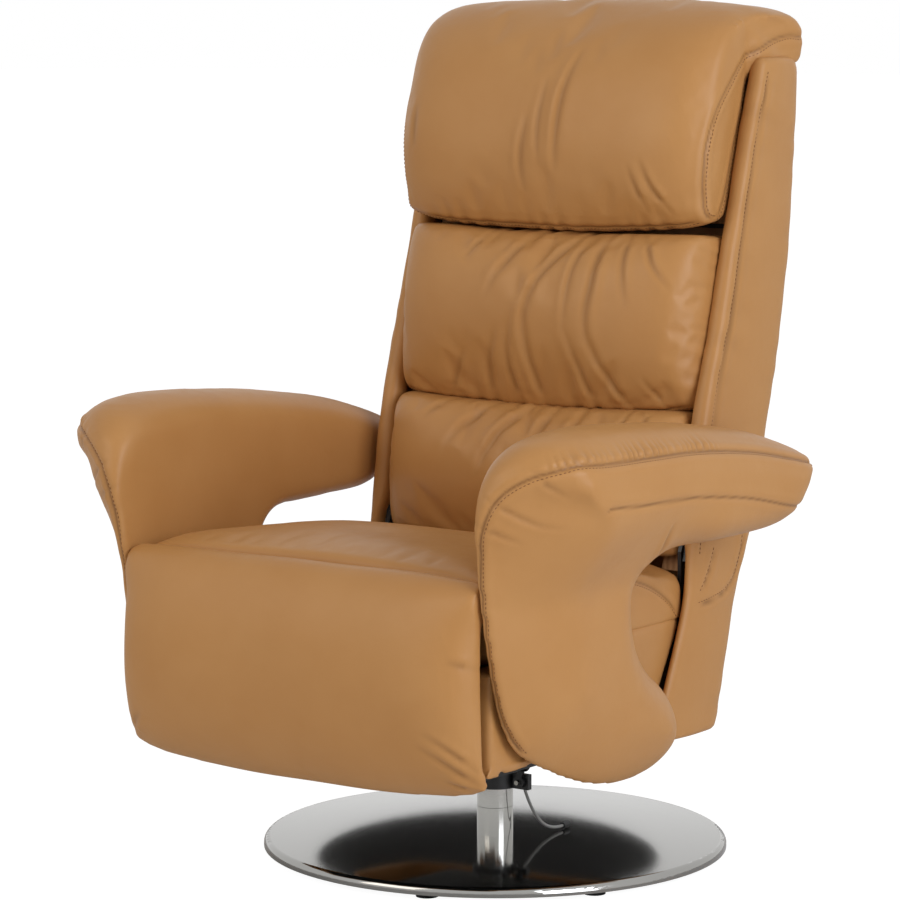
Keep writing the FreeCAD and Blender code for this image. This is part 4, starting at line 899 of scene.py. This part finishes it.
def makeLegRest():
    loop = smoothLoop(legRest["outline"], 130)
    half = legRest["half"]
    rings = []
    for x in widths(half):
        share = abs(x) / half
        ring = insetLoop(loop, 1.5 + 5 * share**12)
        back = -400.0
        depth = max((1 - share**7) ** (1 / 3.2), 0.42)
        forward = ring[:, 0] < back
        hinge = np.clip((420 - ring[:, 1]) / 50, 0, 1)
        wanted = back - (back - ring[:, 0]) * (depth * hinge + (1 - hinge) * max(depth, 0.85))
        ring[:, 0] = np.where(forward, wanted, ring[:, 0])
        ring[:, 1] += 16 * share**4 * np.clip((240 - ring[:, 1]) / 80, 0, 1)
        rings.append(sideLine(x, ring))
    piece = meshFrom("legRestPad", lambda bm: loftRings(bm, rings))

    def armSlots(bm):
        # room for the two steel arms that carry the leg rest
        for x in (157, -157):
            block = bmesh.ops.create_cube(bm, size=1)["verts"]
            bmesh.ops.scale(bm, vec=(0.02, 0.05, 0.075), verts=block)
            bmesh.ops.translate(bm, vec=place(x, -384, 381), verts=block)

    cutter = meshFrom("cutter", armSlots)
    cut = piece.modifiers.new("slot", "BOOLEAN")
    cut.operation = "DIFFERENCE"
    cut.object = cutter
    bake(piece)
    bpy.data.objects.remove(cutter)

    def held(co):
        x, y, z = millimetres(co)
        rear = gate(y, -408, 6)
        top = gate(z, 418, 5)
        side = gate(x, half - 4, 3)
        return np.clip(rear + top + side, 0, 1)

    plump(piece, legRest, 3, held, 1.0, 170, 11)
    folds(piece, [
        pull(2.4, 7, (258, -428, 190), (226, -440, 215), (190, -446, 235)),
        pull(2.1, 6, (258, -428, 215), (230, -442, 236), (204, -448, 250)),
        pull(1.9, 6, (250, -420, 172), (222, -430, 186)),
        pull(1.3, 7, (260, -430, 330), (236, -446, 336)),
        pull(2.1, 8, (-256, -428, 200), (-226, -440, 226)),
    ])
    dress(piece, "footrest", "leg_rest_pad")


# armrest: a side outline given a thickness, like a relief; each outline point also says how far
# the inner and outer face draw in there, over which depth, and how round the outer edge is

arm = {
    "outline": [  # y, z, inner draw, inner depth, outer draw, outer depth, roundness
        (-425, 552, 32, 26, 92, 95, 1.5), (-408, 578, 46, 34, 78, 80, 1.8),
        (-380, 595, 56, 40, 68, 70, 2.0), (-330, 602, 60, 42, 62, 64, 2.1),
        (-260, 602, 60, 42, 62, 64, 2.1), (-190, 598, 60, 42, 62, 64, 2.1),
        (-110, 591, 60, 42, 62, 62, 2.1), (-40, 581, 60, 42, 62, 60, 2.1),
        (40, 567, 60, 42, 62, 58, 2.1), (100, 553, 58, 42, 62, 54, 2.1),
        (150, 538, 54, 42, 66, 52, 2.1), (171, 526, 48, 42, 72, 52, 2.0),
        (176, 512, 44, 42, 76, 54, 2.0), (170, 495, 42, 40, 74, 54, 2.0),
        (152, 472, 38, 36, 66, 52, 2.0), (126, 452, 34, 30, 60, 50, 2.0),
        (95, 442, 30, 26, 58, 48, 2.0), (40, 438, 28, 24, 58, 46, 2.0), (-40, 437, 24, 22, 58, 46, 2.0),
        (-90, 437, 20, 18, 58, 46, 1.9), (-118, 431, 12, 14, 56, 46, 1.8),
        (-135, 416, 8, 12, 48, 46, 1.7), (-143, 394, 6, 10, 42, 48, 1.6),
        (-145, 362, 6, 10, 40, 52, 1.6), (-132, 322, 6, 10, 40, 56, 1.6),
        (-100, 287, 6, 10, 42, 60, 1.5), (-58, 258, 5, 9, 44, 60, 1.5), (-31, 230, 5, 8, 46, 60, 1.5),
        (-21, 200, 4, 8, 46, 60, 1.5), (-28, 170, 4, 8, 48, 64, 1.5), (-56, 150, 4, 8, 50, 70, 1.5),
        (-100, 141, 4, 8, 50, 80, 1.45), (-158, 143, 4, 8, 50, 86, 1.4), (-220, 158, 4, 8, 50, 90, 1.4),
        (-285, 182, 4, 8, 50, 96, 1.4), (-335, 206, 4, 8, 50, 104, 1.35),
        (-368, 238, 4, 8, 52, 112, 1.3), (-392, 285, 4, 8, 53, 120, 1.3),
        (-408, 340, 4, 8, 55, 120, 1.3), (-420, 400, 4, 8, 64, 120, 1.3),
        (-428, 460, 5, 10, 100, 120, 1.3), (-431, 512, 10, 14, 112, 112, 1.35),
    ],
    "inside": 267,
    "leaf": 326,
    "cap": 394,
    "cell": 3.6,
}


def outlineDistance(loop, spots):
    # distance inside the outline, and which outline point is nearest
    start = loop[:, :2]
    step = np.roll(start, -1, 0) - start
    size = (step**2).sum(1)
    best = np.full(len(spots), 1e9)
    near = np.zeros(len(spots), int)
    spot = np.zeros((len(spots), 2))
    inside = np.zeros(len(spots), bool)
    for i in range(len(start)):
        away = spots - start[i]
        t = np.clip(away @ step[i] / max(size[i], 1e-9), 0, 1)
        foot = start[i] + t[:, None] * step[i]
        gap = np.linalg.norm(spots - foot, axis=1)
        closer = gap < best
        best[closer] = gap[closer]
        near[closer] = i
        spot[closer] = foot[closer]
        a = start[i]
        b = a + step[i]
        crosses = (a[1] > spots[:, 1]) != (b[1] > spots[:, 1])
        level = a[0] + (spots[:, 1] - a[1]) * step[i][0] / (step[i][1] if abs(step[i][1]) > 1e-9 else 1e-9)
        inside ^= crosses & (spots[:, 0] < level)
    return np.where(inside, best, -best), near, spot


def armFaces(y, z, depth, near, loop):
    inDraw, inDeep, outDraw, outDeep, power = [loop[near, k] for k in (2, 3, 4, 5, 6)]
    flare = ramp(z, 385, 512)
    flare = flare + (1 - flare) * ramp(y, -170, -60) * ramp(z, 372, 432)
    full = arm["leaf"] + (arm["cap"] - arm["leaf"]) * flare
    full -= 6 * ramp(-z, -330, -170) + 3 * ramp(z, 520, 590)
    s = np.clip(depth / inDeep, 0, 1)
    inner = arm["inside"] + inDraw * (1 - np.sqrt(1 - (1 - s) ** 2))
    s = np.clip(depth / outDeep, 0, 1)
    outer = full - outDraw * (1 - (1 - (1 - s) ** power) ** (1 / power))
    return inner, np.maximum(outer, inner + 1.5)


def buildArm(bm):
    loop = smoothLoop(arm["outline"], 260)
    cell = arm["cell"]
    low = loop[:, :2].min(0) - cell
    count = np.ceil((loop[:, :2].max(0) + cell - low) / cell).astype(int) + 1
    steps = [low[k] + cell * np.arange(count[k]) for k in (0, 1)]
    y, z = np.meshgrid(*steps, indexing="ij")
    spots = np.stack([y.ravel(), z.ravel()], 1)
    depth, near, foot = outlineDistance(loop, spots)
    middle, _, _ = outlineDistance(loop, spots + cell / 2)
    snap = depth < 0.35 * cell
    spots[snap] = foot[snap]
    depth = np.clip(depth, 0, None)
    depth[snap] = 0
    inner, outer = armFaces(spots[:, 0], spots[:, 1], depth, near, loop)
    solid = (middle > 0).reshape(count)
    solid[-1, :] = False
    solid[:, -1] = False
    number = np.arange(len(spots)).reshape(count)
    made = [{}, {}]

    def vertex(side, index):
        if index not in made[side]:
            x = (inner, outer)[side][index]
            made[side][index] = bm.verts.new(place(x, spots[index, 0], spots[index, 1]))
        return made[side][index]

    edges = {}
    for i, j in zip(*np.nonzero(solid)):
        quad = [number[i, j], number[i + 1, j], number[i + 1, j + 1], number[i, j + 1]]
        bm.faces.new([vertex(1, k) for k in quad])
        bm.faces.new([vertex(0, k) for k in reversed(quad)])
        for a, b in zip(quad, quad[1:] + quad[:1]):
            if (b, a) in edges:
                del edges[(b, a)]
            else:
                edges[(a, b)] = True
    for a, b in edges:
        bm.faces.new([vertex(0, a), vertex(0, b), vertex(1, b), vertex(1, a)])


def makeArms():
    piece = meshFrom("armLeft", buildArm)
    skin(piece, cushionCell, 12)
    refine(piece)
    softNoise(piece, 0.8, 170, 21)
    outer = [
        (290, -352, 200), (278, -384, 250), (273, -402, 310), (273, -415, 370), (274, -424, 440),
        (281, -428, 490), (300, -424, 528), (332, -408, 552), (362, -380, 562), (381, -335, 564),
        (385, -236, 563), (385, -125, 560), (385, -9, 549), (384, 87, 532), (376, 141, 517),
        (358, 164, 508),
    ]
    sewnRows = [seam(piece, outer, armSeam, gathers=2.0, spacing=13, reach=17, span=(0.42, 0.72), side=-1)]
    second = [
        (374, -330, 516), (390, -290, 512), (395, -220, 509), (396, -140, 506), (396, -25, 493),
        (393, 83, 470), (380, 150, 455),
    ]
    seam(piece, second, plainSeam)
    folds(piece, [
        pull(2.6, 6, (350, -176, 500), (338, -160, 455), (332, -152, 415), middle=True),
        pull(1.6, 6, (300, -420, 520), (330, -385, 500), (352, -355, 498)),
        pull(1.4, 6, (288, -424, 492), (314, -390, 478)),
        pull(1.2, 6, (345, -398, 550), (362, -366, 534)),
    ])

    def mirrored(bm):
        bm.from_mesh(piece.data)
        bmesh.ops.scale(bm, vec=(-1, 1, 1), verts=bm.verts)

    other = meshFrom("armRight", mirrored)
    dress(piece, "seat", "arm_left")
    dress(other, "seat", "arm_right")
    flip = np.array([-1, 1, 1])
    return sewnRows + [(spots * flip, normals * flip) for spots, normals in sewnRows]


# back shell: a padded trough, lofted upwards

shell = {
    "stations": [  # z, front edge, rear face
        (167, 12, 146), (172, 4, 150), (190, 4, 154), (212, 8, 160), (241, 20, 168), (290, 42, 182),
        (345, 62, 200), (400, 68, 226), (470, 78, 250), (555, 93, 272), (620, 111, 289),
        (685, 133, 303), (770, 156, 319), (854, 180, 328), (930, 202, 334), (985, 220, 337),
        (1006, 227, 337), (1018, 231, 334), (1023, 233, 330),
    ],
    "lid": [(244, 996), (332, 996), (336, 1010), (332, 1021), (244, 1021)],
    "lidEnds": [(254, 308), (247, 322), (236, 331)],  # follows the rounded rear corners
    "half": 256,
    "wall": 13,
    "corner": 34,
}


def shellRing(z, front, rear):
    half = shell["half"]
    wall = shell["wall"]
    turn = shell["corner"]
    bulge = 3.0
    lip = 1 + 10.5 * ramp(z, 396, 440)
    outer = [(half, front + 5)]
    for t in np.linspace(0.08, 0.92, 9):
        outer.append((half + bulge * math.sin(math.pi * t), front + (rear - turn - front) * t))
    for a in np.linspace(0, math.pi / 2, 7):
        outer.append((half - turn + turn * math.cos(a), rear - turn + turn * math.sin(a)))
    for t in np.linspace(0.1, 0.9, 9):
        outer.append(((half - turn) * (1 - t), rear + 4 * math.sin(math.pi / 2 * t)))
    outer.append((0, rear + 4))
    inner = [(0, rear - wall)]
    for t in np.linspace(0.1, 0.9, 9):
        inner.append(((half - turn) * t, rear - wall))
    for a in np.linspace(math.pi / 2, 0, 7):
        r = turn - wall
        inner.append((half - turn + r * math.cos(a), rear - turn + r * math.sin(a)))
    for y in np.linspace(rear - turn - 6, front + 44, 7):
        inner.append((half - wall, y))
    edge = half - wall - lip
    inner += [(edge + lip * 0.5, front + 36), (edge, front + 24), (edge, front + 10)]
    nose = [(edge + 3, front + 1), (half - wall / 2 - lip / 2, front - 2.5), (half - 3, front - 1)]
    left = [(-x, y) for x, y in (inner[1:] + nose + outer[:-1])[::-1]]
    return [(x, y, z) for x, y in outer + left + inner + nose]


def trough(bm, rings):
    # the section is a U, so its ends are closed across the wall and not across the opening
    ends = loftWalls(bm, rings)
    count = len(rings[0])
    nose = 3  # points on each front edge
    along = (count - 2 * nose) // 2
    last = count - nose - 1
    for ring in ends:
        for i in range(along - 1):
            bm.faces.new((ring[i], ring[i + 1], ring[last - i - 1], ring[last - i]))
        bm.faces.new(ring[along - 1 : along + nose + 1])
        bm.faces.new(ring[last:] + ring[:1])


def makeShell():
    fine = smoothLoop(shell["stations"], 76, closed=False)
    rings = [shellRing(z, front, rear) for z, front, rear in fine]
    ends = [(-x, reach) for x, reach in shell["lidEnds"]] + [(0, 333)] + shell["lidEnds"][::-1]
    lidRings = [[(x, min(y, reach), z) for y, z in shell["lid"]] for x, reach in ends]

    def wallsAndLid(bm):
        trough(bm, rings)
        loftRings(bm, lidRings)

    piece = meshFrom("backShell", wallsAndLid)
    refine(piece)
    softNoise(piece, 0.8, 190, 31)
    paths = []
    half = shell["half"]
    for side in (1, -1):
        front = [
            (242, 1000), (221, 940), (198, 860), (157, 705), (129, 620), (112, 560), (97, 470),
            (87, 400),
        ]
        paths.append(seam(piece, sideLine(side * half, front), gathers=0.5, spacing=60))
        curve = [(196, 424), (190, 398), (183, 376), (168, 356), (138, 341), (82, 333)]
        paths.append(seam(piece, sideLine(side * half, curve)))
        strip = [(118, 400), (106, 376), (88, 350)]
        paths.append(seam(piece, sideLine(side * half, strip)))
        rearEdge = [(side * (half - 12), y - 10, z) for z, _, y in shell["stations"][1:-1]]
        paths.append(seam(piece, rearEdge, gathers=0.4, spacing=50))
    dress(piece, "back", "back_shell")
    return paths


# cloth linings: black non-woven under the seat box, brown cotton behind the back cushions


def stripRing(half, y, z, depth, rise):
    # a flat strip's section: half its width, one corner's place and its thickness along y or z
    return [(-half, y, z), (half, y, z), (half, y + depth, z + rise), (-half, y + depth, z + rise)]


def line(piece, material, body, slot):
    piece.data.materials.append(material)
    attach(piece, body)


def makeLinings():
    dustRings = [stripRing(226, y, 190, 0, 2.6) for y in (-380, -300, -200, -100, -4)]
    dust = meshFrom("dustCover", lambda bm: loftRings(bm, dustRings))
    line(dust, blackCloth, "seat", "elastic_webbing")
    backRings = [stripRing(228, leanLine(z) - 6, z, 2.5, 0) for z in (410, 500, 600, 700, 803)]
    behind = meshFrom("backLining", lambda bm: loftRings(bm, backRings))
    line(behind, brownCloth, "back", "leather")


makeLinings()

# stitches: short thread beads laid beside every sewn line

thread = {"pitch": 5.4, "long": 3.8, "thick": 1.1, "row": 4.2, "lift": 0.25}


def stitchTree(material):
    tree = bpy.data.node_groups.new("stitchRow", "GeometryNodeTree")
    tree.interface.new_socket("Geometry", in_out="INPUT", socket_type="NodeSocketGeometry")
    sizes = {}
    for name in ("Pitch", "Length", "Thickness"):
        sizes[name] = tree.interface.new_socket(name, in_out="INPUT", socket_type="NodeSocketFloat")
    tree.interface.new_socket("Geometry", in_out="OUTPUT", socket_type="NodeSocketGeometry")
    given = addNode(tree, "NodeGroupInput")
    line = {"Curve": given.outputs["Geometry"], "Length": given.outputs["Pitch"]}
    spaced = addNode(tree, "GeometryNodeCurveToPoints", line, mode="LENGTH")
    bead = addNode(tree, "GeometryNodeMeshIcoSphere", {"Radius": 0.5, "Subdivisions": 1})
    thick = given.outputs["Thickness"]
    stretch = addNode(tree, "ShaderNodeCombineXYZ", {"X": thick, "Y": thick, "Z": given.outputs["Length"]})
    bigger = {"Geometry": bead.outputs["Mesh"], "Scale": stretch.outputs[0]}
    shaped = addNode(tree, "GeometryNodeTransform", bigger)
    where = {name: spaced.outputs[name] for name in ("Points", "Rotation")}
    laid = addNode(tree, "GeometryNodeInstanceOnPoints", where | {"Instance": shaped.outputs[0]})
    real = addNode(tree, "GeometryNodeRealizeInstances", {"Geometry": laid.outputs[0]})
    finish = addNode(tree, "GeometryNodeSetMaterial", {"Geometry": real.outputs[0], "Material": material})
    out = addNode(tree, "NodeGroupOutput")
    tree.links.new(finish.outputs[0], out.inputs[0])
    return tree, {name: socket.identifier for name, socket in sizes.items()}


def makeStitches(name, body, seams, tree, keys):
    curve = bpy.data.curves.new(name, "CURVE")
    curve.dimensions = "3D"
    for spots, normals in seams:
        ahead = np.gradient(spots, axis=0)
        ahead /= np.linalg.norm(ahead, axis=1)[:, None]
        across = np.cross(ahead, normals)
        line = spots + across * thread["row"] / 1000 + normals * thread["lift"] / 1000
        spline = curve.splines.new("POLY")
        spline.points.add(len(line) - 1)
        spline.points.foreach_set("co", np.column_stack([line, np.ones(len(line))]).ravel())
    rows = bpy.data.objects.new(name + "Rows", curve)
    scene.collection.objects.link(rows)
    laid = rows.modifiers.new("stitches", "NODES")
    laid.node_group = tree
    laid[keys["Pitch"]] = thread["pitch"] / 1000
    laid[keys["Length"]] = thread["long"] / 1000
    laid[keys["Thickness"]] = thread["thick"] / 1000
    mesh = bpy.data.meshes.new_from_object(rows.evaluated_get(bpy.context.evaluated_depsgraph_get()))
    bpy.data.objects.remove(rows)
    piece = bpy.data.objects.new(name, mesh)
    scene.collection.objects.link(piece)
    if not mesh.materials:
        mesh.materials.append(threadFinish)
    mesh.shade_smooth()
    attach(piece, body)
    print(name, len(mesh.polygons), "faces")


headSeams = makeHeadrest()
backSeams = makeMiddleCushion()
makeLumbarCushion()
seatSeams = makeSeat()
makeSideCovers()
makeLegRest()
seatSeams += makeArms()
backSeams += makeShell()
tree, keys = stitchTree(threadFinish)
for body, seams in (("seat", seatSeams), ("back", backSeams), ("head", headSeams)):
    makeStitches("stitches" + body.capitalize(), body, seams, tree, keys)
print("upholstery done")


# studio


def makeStudio():
    world = bpy.data.worlds.new("studio")
    scene.world = world
    world.use_nodes = True
    tree = world.node_tree
    tree.nodes.clear()
    path = addNode(tree, "ShaderNodeLightPath")
    rays = {0: path.outputs["Is Camera Ray"], 1: path.outputs["Is Glossy Ray"]}
    seen = addNode(tree, "ShaderNodeMath", rays, operation="MAXIMUM")
    inputs = {0: seen.outputs[0]}
    for slot, strength in ((1, 0.42), (2, 1.0)):
        white = {"Color": paint("#FFFFFF"), "Strength": strength}
        inputs[slot] = addNode(tree, "ShaderNodeBackground", white).outputs[0]
    mix = addNode(tree, "ShaderNodeMixShader", inputs)
    out = addNode(tree, "ShaderNodeOutputWorld", {"Surface": mix.outputs[0]})

    bpy.ops.mesh.primitive_plane_add(size=90, location=(0, 0, 0))
    floor = bpy.context.object
    floor.name = "studioFloor"
    material, tree, shader = newMaterial("painted plaster floor")
    shader.inputs["Base Color"].default_value = paint("#F2F2F2")
    shader.inputs["Roughness"].default_value = 0.9
    path = addNode(tree, "ShaderNodeLightPath")
    seen = addNode(tree, "ShaderNodeMath", {0: path.outputs["Is Camera Ray"], 1: 0.8}, operation="MULTIPLY")
    glow = addNode(tree, "ShaderNodeEmission", {"Color": paint("#FFFFFF"), "Strength": 1.2})
    inputs = {0: seen.outputs[0], 1: shader.outputs[0], 2: glow.outputs[0]}
    mix = addNode(tree, "ShaderNodeMixShader", inputs)
    out = next(n for n in tree.nodes if n.type == "OUTPUT_MATERIAL")
    tree.links.new(mix.outputs[0], out.inputs[0])
    floor.data.materials.append(material)

    # the dark flag behind the chair that the polished disc mirrors
    back = Vector((-0.584, 0.812, 0)) * 1.2 + Vector((0, axleY, 0.5))
    bpy.ops.mesh.primitive_circle_add(vertices=64, radius=0.34, fill_type="NGON", location=back)
    flag = bpy.context.object
    flag.name = "studioFlag"
    flag.rotation_euler = (math.pi / 2, 0, math.radians(35.7))
    flag.data.materials.append(plainFinish("black velvet", "#151413", 0.95, scale=4))
    flag.visible_camera = False
    flag.visible_diffuse = False
    flag.visible_shadow = False

    lamps = [
        ("frontLamp", (-1.2, -3.6, 2.2), 2.2, 37, "#FFF6EA"),
        ("sideLamp", (3.6, -0.9, 1.7), 2.0, 81, "#F2F6FF"),
        ("topLamp", (0.6, 0.6, 3.6), 2.4, 3, "#FFFFFF"),
    ]
    for name, spot, size, power, colour in lamps:
        light = bpy.data.lights.new(name, "AREA")
        light.color = paint(colour)[:3]
        light.size = size
        light.energy = power
        lamp = bpy.data.objects.new(name, light)
        lamp.location = spot
        aim = Vector((0, 0, 0.6)) - lamp.location
        lamp.rotation_euler = aim.to_track_quat("-Z", "Y").to_euler()
        scene.collection.objects.link(lamp)


makeStudio()
print("studio done")
